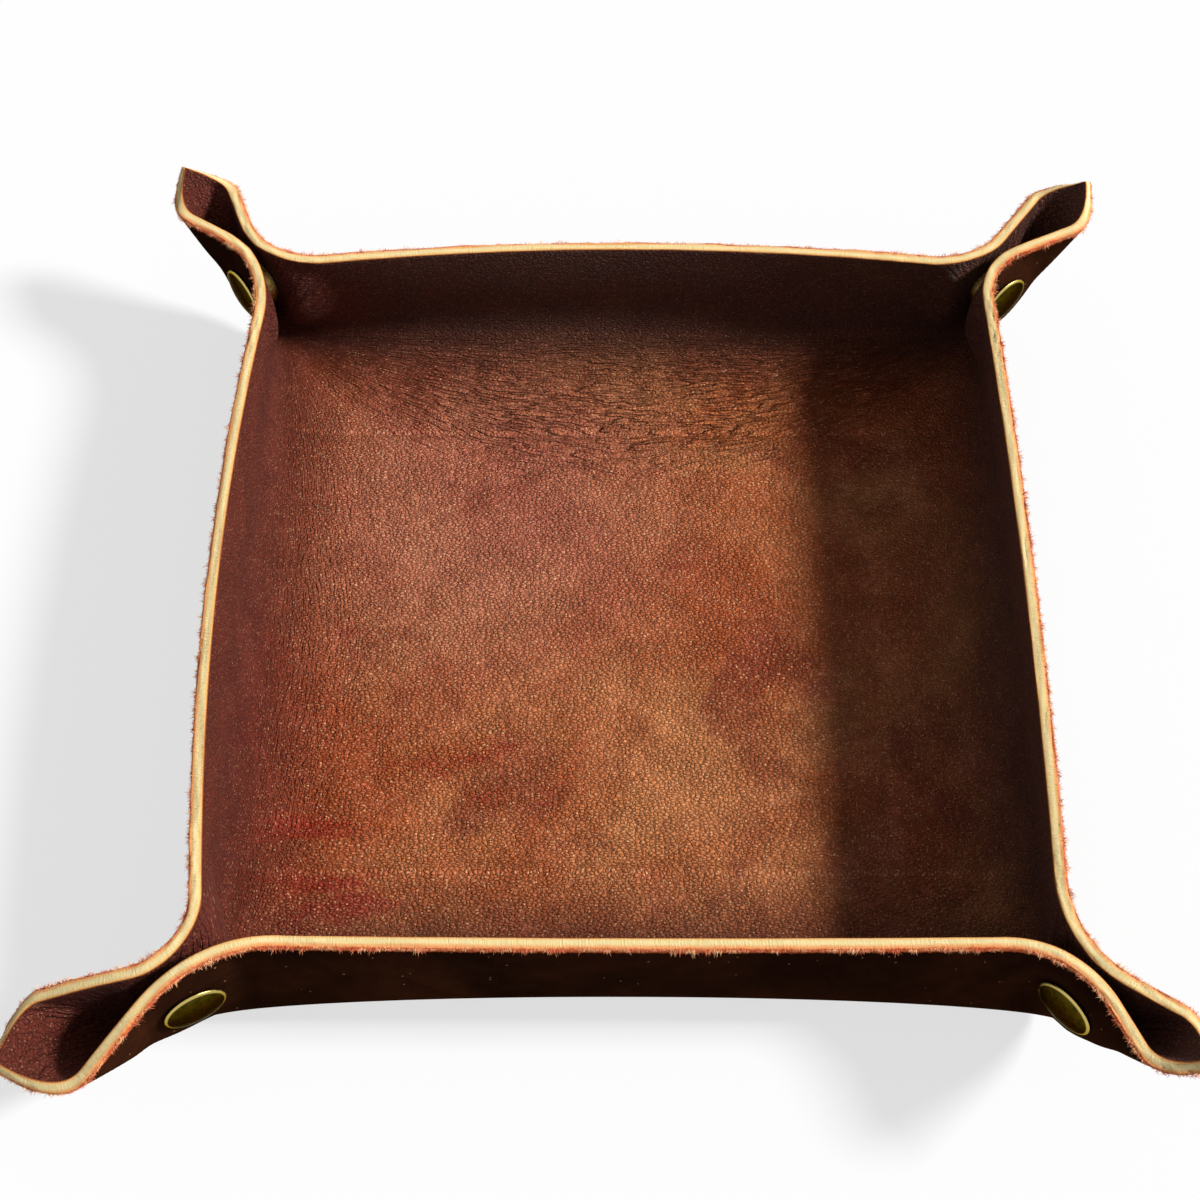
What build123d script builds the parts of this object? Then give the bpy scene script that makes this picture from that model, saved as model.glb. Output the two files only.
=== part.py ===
from build123d import *
import os
from dataclasses import dataclass
from math import comb, cos, pi, radians, sin, tan

import numpy as np

# Valet tray: one square of thick leather whose edges are folded up into four
# walls. A snap fastener pinches each corner, and the leather outside the snap
# opens into an ear. Millimetres, +Z up, origin on the resting face's centre.
# Front is -Y, so the four corners are front_left, front_right and so on.

# Leather blank
blank_side = 280.0
leather_thickness = 3.0
wall_height = 37.0

# How the walls stand
wall_lean = -9.5  # degrees outward at the wall's ends, so they lean in there
front_bow = 0.8  # how far each wall's top swells outward at its middle
right_bow = 2.4
back_bow = 7.2
left_bow = 6.6
middle_bend_reach = 36.0  # half width of the soft bend between floor and wall
corner_bend_reach = 15.0

# Snap fastener, one at each corner
snap_height = 22.6  # its axis above the resting face
cap_diameter = 15.1
cap_edge = 1.0
cap_crown = 0.9
cap_edge_round = 0.45
cap_skin = 1.4
shank_diameter = 4.0
shank_wall = 0.45
shank_flare = 0.9
flare_thickness = 0.4
socket_diameter = 12.6
socket_height = 3.2
socket_base = 0.5
mouth_depth = 0.2
stud_diameter = 11.6
stud_flange = 0.9
stud_base = 0.6
bulb_diameter = 6.0
bulb_height = 2.1
bulb_wall = 0.6
bulb_top = 0.5
bulb_rise = 0.25
bulb_slope = 0.4
neck_diameter = 5.5
spring_width = 0.7
spring_thickness = 0.7
spring_split = 1.2
spring_play = 0.05
post_diameter = 10.8
post_flange = 0.8
clench_lip = 0.3
clench_thickness = 0.35

# Clearances
metal_clearance = 0.05
punch_clearance = 0.1  # hole in the leather round a shank
spring_clearance = 0.1
bulb_clearance = 0.15
groove_clearance = 0.2
cavity_clearance = 0.25
seat_clearance = 0.2  # between the leather and the metal pressed on it
flat_margin = 2.5  # flattened leather round the cap
flat_fade = 6.0
ridge_reach = 6.0  # leather left round beside the ear's ridge

# The leather's inner half is squeezed thinner in the tight fold at each ear's root
squeeze_share = 0.7
squeeze_place = 3.5  # past the fold line, both ways
squeeze_reach = 14.0

# Sampling of the leather's surfaces
slope_step = 3.0
ring_power = 8
blur_steps = 6
disc_power = 3  # the pressed patch is a little squarer than a disc
dome_steps = 2
ring_shares = (0, 0.16, 0.29, 0.41, 0.51, 0.59, 0.67, 0.75, 0.83, 0.915, 1)
side_shares = (0, 0.35, 0.58, 0.68, 0.74, 0.78, 0.81, 0.84, 0.87, 0.9, 0.93, 0.965, 1)

half_side = blank_side / 2
half_thickness = leather_thickness / 2
fold_line = half_side - wall_height
floor_line = fold_line - middle_bend_reach - 2 * slope_step
lean = radians(wall_lean)

# Heights along a snap's axis, from the middle between the two leather layers
snap_gap = socket_height + stud_flange
gap_top = snap_gap / 2
gap_bottom = -gap_top
cap_seat = gap_top + leather_thickness + 2 * seat_clearance
post_seat = -cap_seat
meeting = gap_bottom + stud_flange
groove_bottom = meeting + mouth_depth
groove_top = groove_bottom + spring_thickness + 2 * spring_play
layer_middle = gap_top + seat_clearance + half_thickness
flat_radius = cap_diameter / 2 + flat_margin


@dataclass(frozen=True)
class Corner:
    """One corner of the tray. Shares are of the height above the floor."""

    name: str
    side_x: int
    side_y: int
    ear_turn: float  # degrees the ear's axis turns from the X wall's line past 45
    ear_spread: float  # degrees that each side of the ear opens past the snap
    side_share: float  # straight stretch of the ear's side
    neck_share_x: float  # neck radius on the wall that runs along X
    neck_share_y: float  # neck radius on the wall that runs along Y
    gap_share: float  # half the gap between the walls at the neck
    cap_on_x_wall: bool  # else the cap is on the wall that runs along Y


corners = [
    Corner("front_left", -1, -1, -15.5, 20.5, 0.72, 1.05, 0.52, 0.058, True),
    Corner("front_right", 1, -1, 4.0, 16.5, 0.29, 0.68, 0.84, 0.060, True),
    Corner("back_right", 1, 1, -5.5, 14.0, 0.47, 0.71, 0.52, 0.068, False),
    Corner("back_left", -1, 1, 6.5, 18.0, 0.33, 0.68, 0.93, 0.063, False),
]


def arc_points(start, turn_from, turn_to, radius, count=24):
    """Points of an arc from start that turns between two headings.

    A positive radius turns left, a negative one turns right."""
    heading = np.linspace(turn_from, turn_to, count)
    side = np.stack([np.sin(heading), -np.cos(heading)], axis=-1)
    return start + radius * (side - side[0])


def half_section(axis, spread, side_share, neck_share, gap_share):
    """Half of a corner's level cut at unit height, from the wall to the ear's ridge."""
    wall_offset = tan(lean)
    start_x = (wall_offset * cos(axis) - neck_share * (1 - cos(axis)) - gap_share) / sin(axis)
    neck = arc_points(np.array([start_x, wall_offset]), 0, axis + spread, neck_share)
    side = neck[-1] + side_share * np.array([cos(axis + spread), sin(axis + spread)])
    half_width = gap_share + neck_share * (1 - cos(spread)) + side_share * sin(spread)
    belly_radius = half_width / cos(spread)
    belly = arc_points(side, axis + spread, axis - pi / 2, -belly_radius)
    return np.concatenate([neck, belly])


def pinch_share(axis, neck_share, gap_share):
    """How far along the ear's axis a wall comes nearest to it, at unit height."""
    wall_offset = tan(lean)
    start_x = (wall_offset * cos(axis) - neck_share * (1 - cos(axis)) - gap_share) / sin(axis)
    return start_x * cos(axis) + wall_offset * sin(axis) + neck_share * sin(axis)


class EarFan:
    """The fan of straight lines from a floor corner that makes its walls' ends and ear."""

    def __init__(self, corner):
        spread = radians(corner.ear_spread)
        axis_x = pi / 4 + radians(corner.ear_turn)
        axis_y = pi / 2 - axis_x
        shape = (spread, corner.side_share)
        half_x = half_section(axis_x, *shape, corner.neck_share_x, corner.gap_share)
        half_y = half_section(axis_y, *shape, corner.neck_share_y, corner.gap_share)
        half_y = half_y[::-1, ::-1]
        fade = np.linspace(1, 0, len(half_y))[:, None]
        half_y = half_y + (half_x[-1] - half_y[0]) * fade
        section = np.concatenate([half_x, half_y[1:]])
        rays = np.column_stack([section, np.ones(len(section))])
        self.rays = rays / np.linalg.norm(rays, axis=1)[:, None]
        turns = np.arccos(np.clip(np.sum(self.rays[1:] * self.rays[:-1], axis=1), -1, 1))
        self.shares = np.concatenate([[0], np.cumsum(turns)]) / np.sum(turns)
        self.first = np.arctan(section[0, 0] * cos(lean))
        self.last = pi / 2 - np.arctan(section[-1, 1] * cos(lean))
        self.axis = axis_x
        self.pinch_share = (pinch_share(axis_x, corner.neck_share_x, corner.gap_share)
                            + pinch_share(axis_y, corner.neck_share_y, corner.gap_share)) / 2

    def ray(self, angle):
        """Unit direction of the line at a sheet angle, counted from the X wall."""
        share = (angle - self.first) / (self.last - self.first)
        parts = [np.interp(share, self.shares, self.rays[:, k]) for k in range(3)]
        ray = np.stack(parts, axis=-1)
        return ray / np.linalg.norm(ray, axis=-1, keepdims=True)


class SnapFrame:
    """Where a corner's snap sits: its axis runs from the Y wall to the X wall."""

    def __init__(self, corner, fan):
        sides = np.array([corner.side_x, corner.side_y, 1])
        self.along = np.array([cos(fan.axis), sin(fan.axis), 0]) * sides
        self.normal = np.array([-sin(fan.axis), cos(fan.axis), 0]) * sides
        pinch = fan.pinch_share * (snap_height - half_thickness)
        self.centre = np.array([fold_line, fold_line, 0]) * sides + self.along * pinch
        self.centre[2] = snap_height
        cap_side = self.normal * (1 if corner.cap_on_x_wall else -1)
        self.seat = Plane(origin=tuple(self.centre), x_dir=tuple(self.along), z_dir=tuple(cap_side))


fans = {(corner.side_x, corner.side_y): EarFan(corner) for corner in corners}
frames = {key: SnapFrame(corner, fans[key])
          for corner in corners for key in [(corner.side_x, corner.side_y)]}
bows_x = {1: right_bow, -1: left_bow}
bows_y = {1: back_bow, -1: front_bow}


def creased(a, b, fan, bow_x, bow_y):
    """Sheet points of one quarter, with sharp folds. The X wall lies at b past the fold."""
    past_a = a - fold_line
    past_b = b - fold_line
    on_wall_x = (past_b > 0) & (past_a <= past_b)
    on_wall_y = (past_a > 0) & (past_b < past_a)
    x = np.where(on_wall_y, fold_line + past_a * sin(lean), a)
    y = np.where(on_wall_x, fold_line + past_b * sin(lean), b)
    z = np.where(on_wall_x, past_b, np.where(on_wall_y, past_a, 0)) * cos(lean)
    angle = np.arctan2(past_a, past_b)
    in_fan = (on_wall_x | on_wall_y) & (angle > fan.first) & (angle < fan.last)
    reach = np.hypot(past_a, past_b)[..., None]
    fan_point = np.array([fold_line, fold_line, 0]) + reach * fan.ray(angle)
    point = np.where(in_fan[..., None], fan_point, np.stack([x, y, z], axis=-1))
    rise_x = np.clip(past_a / wall_height, 0, 1) ** 2
    rise_y = np.clip(past_b / wall_height, 0, 1) ** 2
    point[..., 0] += bow_x * rise_x * np.clip(1 - (b / fold_line) ** 2, 0, 1)
    point[..., 1] += bow_y * rise_y * np.clip(1 - (a / fold_line) ** 2, 0, 1)
    return point


def folded(u, v):
    """Where the sheet's points u, v come to, with sharp folds."""
    point = np.zeros(u.shape + (3,))
    for (side_x, side_y), fan in fans.items():
        here = ((u >= 0) == (side_x > 0)) & ((v >= 0) == (side_y > 0))
        quarter = creased(abs(u[here]), abs(v[here]), fan, bows_x[side_x], bows_y[side_y])
        point[here] = quarter * np.array([side_x, side_y, 1])
    return point


def smooth(share):
    """Smooth step from 0 to 1."""
    share = np.clip(share, 0, 1)
    return share**2 * (3 - 2 * share)


def rounded(u, v):
    """The same sheet with its folds rounded, softest at the walls' middles."""
    middle = np.clip(1 - (u * v / fold_line**2) ** 2, 0, 1)
    reach = corner_bend_reach + (middle_bend_reach - corner_bend_reach) * middle
    ring = (abs(u) ** ring_power + abs(v) ** ring_power) ** (1 / ring_power)
    reach = reach * (1 - smooth((ring - fold_line) / wall_height))
    point = np.zeros(u.shape + (3,))
    for i in range(blur_steps + 1):
        for j in range(blur_steps + 1):
            weight = comb(blur_steps, i) * comb(blur_steps, j) / 4**blur_steps
            shift_u = reach * (2 * i / blur_steps - 1)
            shift_v = reach * (2 * j / blur_steps - 1)
            point += weight * folded(u + shift_u, v + shift_v)
    return point


def pressed(u, v):
    """The middle of the leather, pressed flat between the parts of each snap."""
    point = rounded(u, v)
    point[..., 2] += half_thickness
    lead = abs(v) - abs(u)
    for (side_x, side_y), frame in frames.items():
        here = ((u >= 0) == (side_x > 0)) & ((v >= 0) == (side_y > 0))
        offset = point[here] - frame.centre
        height = offset @ frame.normal
        reach = (abs(offset @ frame.along) ** disc_power + abs(offset[:, 2]) ** disc_power)
        reach = reach ** (1 / disc_power)
        weight = 1 - smooth((reach - flat_radius) / flat_fade)
        weight *= smooth(abs(lead[here]) / ridge_reach)
        move = weight * (np.sign(lead[here]) * layer_middle - height)
        point[here] += move[:, None] * frame.normal
    return point


def leather_faces(u, v):
    """Points of the leather's upper and under faces."""
    nudges = ((0, 0), (slope_step, 0), (-slope_step, 0), (0, slope_step), (0, -slope_step))
    both_u = np.stack([u + nudge_u for nudge_u, nudge_v in nudges])
    both_v = np.stack([v + nudge_v for nudge_u, nudge_v in nudges])
    middle, ahead_u, behind_u, ahead_v, behind_v = pressed(both_u, both_v)
    normal = np.cross(ahead_u - behind_u, ahead_v - behind_v)
    normal *= half_thickness / np.linalg.norm(normal, axis=-1, keepdims=True)
    root = fold_line + squeeze_place
    squeeze = squeeze_share * smooth(1 - np.hypot(abs(u) - root, abs(v) - root) / squeeze_reach)
    return middle + normal * (1 - squeeze)[..., None], middle - normal


def ring_points():
    """Both faces' points on square rings of the sheet, from the floor out to the rim."""
    lines = floor_line + np.array(ring_shares) * (half_side - floor_line)
    shares = np.array(side_shares)
    shares = np.concatenate([-shares[:0:-1], shares])
    along = lines[:, None] * shares
    across = lines[:, None] * np.ones(len(shares))
    u = np.stack([along, across, -along, -across], axis=1)
    v = np.stack([-across, along, across, -along], axis=1)
    return leather_faces(u, v), (shares + 1) / 2


def ring_wire(sides, shares):
    """One closed ring, a spline for each of its four sides."""
    edges = [Edge.make_spline([Vector(*point) for point in side], parameters=list(shares))
             for side in sides]
    return Wire(edges)


def folded_sheet():
    """The whole folded sheet as one solid, without its holes."""
    (upper, under), shares = ring_points()
    upper_rings = [ring_wire(sides, shares) for sides in upper]
    under_rings = [ring_wire(sides, shares) for sides in under]
    faces = [Face(upper_rings[0]), Face(under_rings[0])]
    faces += Shell.make_loft(upper_rings, ruled=True).faces()
    faces += Shell.make_loft(under_rings, ruled=True).faces()
    faces += Shell.make_loft([upper_rings[-1], under_rings[-1]], ruled=True).faces()
    return Solid(Shell(Face.sew_faces(faces)[0]))


def turned(seat, outline):
    """A body turned about the snap's axis from a closed outline of (radius, height)."""
    profile_plane = Plane(origin=seat.origin, x_dir=seat.x_dir, z_dir=seat.x_dir.cross(seat.z_dir))
    with BuildPart() as body:
        with BuildSketch(profile_plane):
            with BuildLine():
                Polyline(*outline, close=True)
            make_face()
        revolve(axis=Axis(seat.origin, seat.z_dir))
    return body.part


def cap_outline():
    """Domed cap with a hollow shank whose end is flared inside the socket."""
    radius = cap_diameter / 2
    shank = shank_diameter / 2
    bore = shank - shank_wall
    shoulder = cap_seat + cap_edge
    dome_radius = radius - cap_edge_round
    flare_top = gap_top - socket_base
    steps = [step / dome_steps for step in range(dome_steps + 1)]
    dome = [(dome_radius * step, shoulder + cap_crown * (1 - step**2)) for step in steps]
    return dome + [
        (radius, shoulder - cap_edge_round),
        (radius, cap_seat),
        (shank, cap_seat),
        (shank, flare_top),
        (shank + shank_flare, flare_top),
        (shank + shank_flare, flare_top - flare_thickness),
        (bore, flare_top - flare_thickness),
        (bore, shoulder + cap_crown - cap_skin),
        (0, shoulder + cap_crown - cap_skin),
    ]


def socket_outline():
    """Socket with a groove for the ring spring behind its mouth."""
    radius = socket_diameter / 2
    hole = shank_diameter / 2 + metal_clearance
    mouth = bulb_diameter / 2 + bulb_clearance
    groove = neck_diameter / 2 + spring_clearance + spring_width + groove_clearance
    cavity = bulb_diameter / 2 + cavity_clearance
    base = gap_top - socket_base
    return [
        (hole, gap_top),
        (radius, gap_top),
        (radius, meeting),
        (mouth, meeting),
        (mouth, groove_bottom),
        (groove, groove_bottom),
        (groove, groove_top),
        (cavity, groove_top),
        (cavity, base),
        (hole, base),
    ]


def stud_outline():
    """Stud with a hollow bulb that the ring spring closes behind."""
    radius = stud_diameter / 2
    hole = shank_diameter / 2 + metal_clearance
    neck = neck_diameter / 2
    bulb = bulb_diameter / 2
    hollow = bulb - bulb_wall
    top = meeting + bulb_height
    return [
        (hole, gap_bottom),
        (radius, gap_bottom),
        (radius, meeting),
        (neck, meeting),
        (neck, groove_top),
        (bulb, groove_top + bulb_rise),
        (bulb, top - bulb_slope),
        (bulb - bulb_slope, top),
        (0, top),
        (0, top - bulb_top),
        (hollow, top - bulb_top),
        (hollow, gap_bottom + stud_base),
        (hole, gap_bottom + stud_base),
    ]


def post_outline():
    """Eyelet post whose end is clenched inside the stud."""
    radius = post_diameter / 2
    shank = shank_diameter / 2
    bore = shank - shank_wall
    back = post_seat - post_flange
    clench = gap_bottom + stud_base
    return [
        (bore, back),
        (radius, back),
        (radius, post_seat),
        (shank, post_seat),
        (shank, clench),
        (shank + clench_lip, clench),
        (shank + clench_lip, clench + clench_thickness),
        (bore, clench + clench_thickness),
    ]


def ring_spring(seat):
    """Split flat ring that grips the stud's bulb from inside the socket's groove."""
    inner = neck_diameter / 2 + spring_clearance
    with BuildPart() as body:
        with BuildSketch(seat.offset(groove_bottom + spring_play)):
            Circle(inner + spring_width)
            Circle(inner, mode=Mode.SUBTRACT)
            with Locations((inner + spring_width / 2, 0)):
                Rectangle(2 * spring_width, spring_split, mode=Mode.SUBTRACT)
        extrude(amount=spring_thickness)
    return body.part


os.makedirs("parts", exist_ok=True)

with BuildPart() as leather_sheet:
    add(folded_sheet())
    for frame in frames.values():
        with BuildSketch(frame.seat):
            Circle(shank_diameter / 2 + punch_clearance)
        extrude(amount=cap_seat + half_thickness, both=True, mode=Mode.SUBTRACT)
leather_sheet.part.label = "leather_sheet"
export_step(leather_sheet.part, "parts/leather_sheet.step")

for corner in corners:
    seat = frames[corner.side_x, corner.side_y].seat
    pieces = {
        "cap": turned(seat, cap_outline()),
        "socket": turned(seat, socket_outline()),
        "spring": ring_spring(seat),
        "stud": turned(seat, stud_outline()),
        "post": turned(seat, post_outline()),
    }
    for piece_name, piece in pieces.items():
        piece.label = f"{corner.name}_{piece_name}"
        export_step(piece, f"parts/{piece.label}.step")
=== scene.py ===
"""Looks of a leather valet tray whose corners are pinched by snap fasteners."""
import logging
from dataclasses import dataclass, field
from enum import Enum
from math import comb, cos, pi, radians, sin, tan

import bmesh
import bpy
import numpy as np
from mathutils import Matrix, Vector


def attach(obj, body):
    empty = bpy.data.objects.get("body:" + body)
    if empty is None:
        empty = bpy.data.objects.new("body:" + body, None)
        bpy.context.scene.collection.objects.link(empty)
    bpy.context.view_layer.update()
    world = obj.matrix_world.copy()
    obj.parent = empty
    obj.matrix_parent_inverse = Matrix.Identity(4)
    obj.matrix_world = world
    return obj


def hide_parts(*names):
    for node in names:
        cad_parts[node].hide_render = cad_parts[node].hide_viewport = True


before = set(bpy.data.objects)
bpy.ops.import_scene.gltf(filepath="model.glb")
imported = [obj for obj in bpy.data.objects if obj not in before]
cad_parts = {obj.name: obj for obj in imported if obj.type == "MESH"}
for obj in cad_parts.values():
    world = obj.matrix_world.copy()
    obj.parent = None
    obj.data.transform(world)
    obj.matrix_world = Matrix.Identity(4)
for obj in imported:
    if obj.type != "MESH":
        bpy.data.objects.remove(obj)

logging.basicConfig(level=logging.INFO, format="%(message)s")
log = logging.getLogger("valet_tray")

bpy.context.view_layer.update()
MM = 0.001
PER_METRE = 1000.0
WHITE = (1, 1, 1, 1)

Grid = np.ndarray
Piece = bpy.types.Object
Nodes = bpy.types.NodeTree
Socket = bpy.types.NodeSocket
Point = tuple[float, float, float]
Colour = tuple[float, float, float, float]
Span = tuple[float, float]
Outline = list[Span]


def srgb(red: int, green: int, blue: int) -> Colour:
    """Turn a display colour into a linear one.

    Args:
        red, green, blue: its channels, 0 to 255.

    Returns:
        The linear colour with an alpha of 1.
    """
    def linear(value: int) -> float:
        """One channel."""
        share = value / 255
        return share / 12.92 if share <= 0.04045 else ((share + 0.055) / 1.055) ** 2.4

    return linear(red), linear(green), linear(blue), 1.0


def ramp(value: Grid, start: float, reach: float) -> Grid:
    """Smooth step from 0 at the start to 1 a reach further on; a negative reach falls."""
    share = np.clip((value - start) / reach, 0, 1)
    return share**2 * (3 - 2 * share)


def unit(vectors: Grid) -> Grid:
    """Vectors of length 1 in the same directions."""
    return vectors / np.linalg.norm(vectors, axis=-1, keepdims=True)


def value_noise(x: Grid, y: Grid, seed: int, size: int = 64) -> Grid:
    """Smooth random heights between 0 and 1 on a unit lattice.

    Args:
        x, y: places.
        seed: number that fixes the lattice.
        size: lattice points each way, after which it repeats.

    Returns:
        The heights.
    """
    table = np.random.default_rng(seed).uniform(0, 1, (size, size))
    column, row = np.floor(x).astype(int), np.floor(y).astype(int)
    share_x, share_y = ramp(x, column, 1), ramp(y, row, 1)

    def level(at: Grid) -> Grid:
        """Heights on one column's line."""
        low, high = table[at % size, row % size], table[at % size, (row + 1) % size]
        return low * (1 - share_y) + high * share_y

    return level(column) * (1 - share_x) + level(column + 1) * share_x


# Shape of the folded sheet


@dataclass(frozen=True)
class Corner:
    """One pinched corner. Shares are of the height above the floor."""

    name: str
    side_x: int
    side_y: int
    ear_turn: float
    ear_spread: float
    side_share: float
    neck_share_x: float
    neck_share_y: float
    gap_share: float
    cap_on_x_wall: bool


CORNERS = (
    Corner("front_left", -1, -1, -15.5, 20.5, 0.72, 1.05, 0.52, 0.058, True),
    Corner("front_right", 1, -1, 4.0, 16.5, 0.29, 0.68, 0.84, 0.060, True),
    Corner("back_right", 1, 1, -5.5, 14.0, 0.47, 0.71, 0.52, 0.068, False),
    Corner("back_left", -1, 1, 6.5, 18.0, 0.33, 0.68, 0.93, 0.063, False),
)


@dataclass(frozen=True)
class SnapSizes:
    """Sizes of a snap fastener, in millimetres, along its own axis."""

    height: float = 22.6
    cap_radius: float = 7.55
    cap_edge: float = 1.0
    cap_crown: float = 0.9
    cap_roll: float = 0.75
    cap_lift: float = 0.08
    crown_power: float = 2.6
    cap_wall: float = 1.4
    shank_radius: float = 2.0
    shank_wall: float = 0.45
    flare_width: float = 0.9
    flare_height: float = 0.4
    flare_depth: float = 0.5
    post_radius: float = 5.4
    post_flange: float = 0.8
    post_roll: float = 0.4
    mouth_roll: float = 0.55
    clench_width: float = 0.3
    clench_height: float = 0.35
    clench_depth: float = 0.6
    dish_margin: float = 1.2
    dish_depth: float = 0.12
    gap: float = 4.1
    seat_clearance: float = 0.2
    flat_margin: float = 2.5
    flat_fade: float = 6.0
    flat_power: int = 3
    ridge_reach: float = 6.0


@dataclass
class SheetForm:
    """The folded sheet as a formula: sheet places in, points of its two faces out."""

    blank_side: float = 280.0
    thickness: float = 3.0
    wall_height: float = 37.0
    wall_lean: float = -9.5
    front_bow: float = 0.8
    right_bow: float = 2.4
    back_bow: float = 7.2
    left_bow: float = 6.6
    middle_bend_reach: float = 36.0
    corner_bend_reach: float = 15.0
    ring_power: int = 8
    blur_steps: int = 6
    blur_fill: int = 3
    soften_rounds: int = 2
    firm_rim: float = 14.0
    firm_fade: float = 10.0
    squeeze_share: float = 0.7
    squeeze_place: float = 3.5
    squeeze_reach: float = 14.0
    snap: SnapSizes = field(default_factory=SnapSizes)

    def __post_init__(self) -> None:
        """Work out what follows from the sizes."""
        self.half_side = self.blank_side / 2
        self.half_thickness = self.thickness / 2
        self.fold_line = self.half_side - self.wall_height
        self.lean = radians(self.wall_lean)
        self.fans = {(corner.side_x, corner.side_y): EarFan(self, corner) for corner in CORNERS}
        self.frames = {key: SnapFrame(self, fan) for key, fan in self.fans.items()}

    def creased(self, a: Grid, b: Grid, key: tuple[int, int]) -> Grid:
        """Fold one quarter of the sheet sharply.

        Args:
            a: sheet places away from the middle along X, in millimetres.
            b: the same along Y.
            key: the quarter, as signs along X and Y.

        Returns:
            Points of the folded quarter, as if it were the quarter of positive sides.
        """
        fan = self.fans[key]
        bow_x = self.right_bow if key[0] > 0 else self.left_bow
        bow_y = self.back_bow if key[1] > 0 else self.front_bow
        past_a = a - self.fold_line
        past_b = b - self.fold_line
        on_wall_x = (past_b > 0) & (past_a <= past_b)
        on_wall_y = (past_a > 0) & (past_b < past_a)
        x = np.where(on_wall_y, self.fold_line + past_a * sin(self.lean), a)
        y = np.where(on_wall_x, self.fold_line + past_b * sin(self.lean), b)
        z = np.where(on_wall_x, past_b, np.where(on_wall_y, past_a, 0)) * cos(self.lean)
        point = np.stack([x, y, z], axis=-1)
        angle = np.arctan2(past_a, past_b)
        in_fan = (on_wall_x | on_wall_y) & (angle > fan.first) & (angle < fan.last)
        reach = np.hypot(past_a[in_fan], past_b[in_fan])[:, None]
        root = np.array([self.fold_line, self.fold_line, 0])
        point[in_fan] = root + reach * fan.ray(angle[in_fan])
        rise_x = np.clip(past_a / self.wall_height, 0, 1) ** 2
        rise_y = np.clip(past_b / self.wall_height, 0, 1) ** 2
        point[..., 0] += bow_x * rise_x * np.clip(1 - (b / self.fold_line) ** 2, 0, 1)
        point[..., 1] += bow_y * rise_y * np.clip(1 - (a / self.fold_line) ** 2, 0, 1)
        return point

    @staticmethod
    def quarter(u: Grid, v: Grid, key: tuple[int, int]) -> Grid:
        """Which places lie in a quarter of the sheet."""
        return ((u >= 0) == (key[0] > 0)) & ((v >= 0) == (key[1] > 0))

    def folded(self, u: Grid, v: Grid) -> Grid:
        """Where the sheet's places u, v come to, with sharp folds."""
        point = np.zeros(u.shape + (3,))
        for key in self.fans:
            here = self.quarter(u, v, key)
            point[here] = self.creased(abs(u[here]), abs(v[here]), key) * np.array([*key, 1])
        return point

    def rounded(self, u: Grid, v: Grid) -> Grid:
        """The same sheet with its folds rounded, softest at the walls' middles."""
        middle = np.clip(1 - (u * v / self.fold_line**2) ** 2, 0, 1)
        reach = self.corner_bend_reach + (self.middle_bend_reach - self.corner_bend_reach) * middle
        ring = (abs(u) ** self.ring_power + abs(v) ** self.ring_power) ** (1 / self.ring_power)
        reach = reach * (1 - ramp(ring, self.fold_line, self.wall_height))
        places, weights = self.kernel()
        point = np.zeros(u.shape + (3,))
        for place_u, weight_u in zip(places, weights):
            for place_v, weight_v in zip(places, weights):
                moved = self.folded(u + reach * place_u, v + reach * place_v)
                point += weight_u * weight_v * moved
        return point

    def kernel(self) -> tuple[Grid, Grid]:
        """Places, as shares of the reach, and weights of the blur that rounds the folds."""
        steps, fill = self.blur_steps, self.blur_fill
        spaced = np.zeros(steps * fill + 1)
        spaced[::fill] = [comb(steps, i) / 2**steps for i in range(steps + 1)]
        weights = np.convolve(spaced, np.full(fill, 1 / fill))
        places = np.arange(len(weights)) - (len(weights) - 1) / 2
        return places * 2 / (steps * fill), weights

    def pressed(self, u: Grid, v: Grid) -> Grid:
        """The middle of the leather, pressed flat between the parts of each snap."""
        point = self.rounded(u, v)
        point[..., 2] += self.half_thickness
        lead = abs(v) - abs(u)
        layer = self.snap.gap / 2 + self.snap.seat_clearance + self.half_thickness
        flat_radius = self.snap.cap_radius + self.snap.flat_margin
        power = self.snap.flat_power
        for key, seat in self.frames.items():
            here = self.quarter(u, v, key)
            offset = point[here] - seat.centre
            height = offset @ seat.normal
            along, up = abs(offset @ seat.along), abs(offset[:, 2])
            reach = (along**power + up**power) ** (1 / power)
            weight = 1 - ramp(reach, flat_radius, self.snap.flat_fade)
            weight *= ramp(abs(lead[here]), 0, self.snap.ridge_reach)
            move = weight * (np.sign(lead[here]) * layer - height)
            point[here] += move[:, None] * seat.normal
        return point

    def skin(self, u: Grid, v: Grid) -> tuple[Grid, Grid, Grid, Grid]:
        """Find the middle of the leather and its directions on a grid.

        Args:
            u, v: sheet places along X and Y, in millimetres, one row for each grid line.

        Returns:
            The middle points, the half thickness as vectors to the upper face, and the unit
            directions along the grid's two ways.
        """
        middle = self.pressed(u, v)
        softer = middle.copy()
        for axis in (0, 1) * self.soften_rounds:
            ahead, behind = np.roll(softer, -1, axis), np.roll(softer, 1, axis)
            softer = (ahead + behind + 2 * softer) / 4
        ring = np.maximum(abs(u), abs(v))
        inside = 1 - ramp(ring, self.half_side - self.firm_rim, self.firm_fade)
        middle = middle + (softer - middle) * inside[..., None]
        along_u, along_v = (unit(np.gradient(middle, axis=axis)) for axis in (0, 1))
        normal = np.cross(along_u, along_v)
        normal *= self.half_thickness / np.linalg.norm(normal, axis=-1, keepdims=True)
        return middle, normal, along_u, along_v

    def squeeze(self, u: Grid, v: Grid) -> Grid:
        """Share of the upper half's thickness that is left in the tight folds."""
        root = self.fold_line + self.squeeze_place
        reach = np.hypot(abs(u) - root, abs(v) - root) / self.squeeze_reach
        return 1 - self.squeeze_share * ramp(reach, 1, -1)


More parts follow.
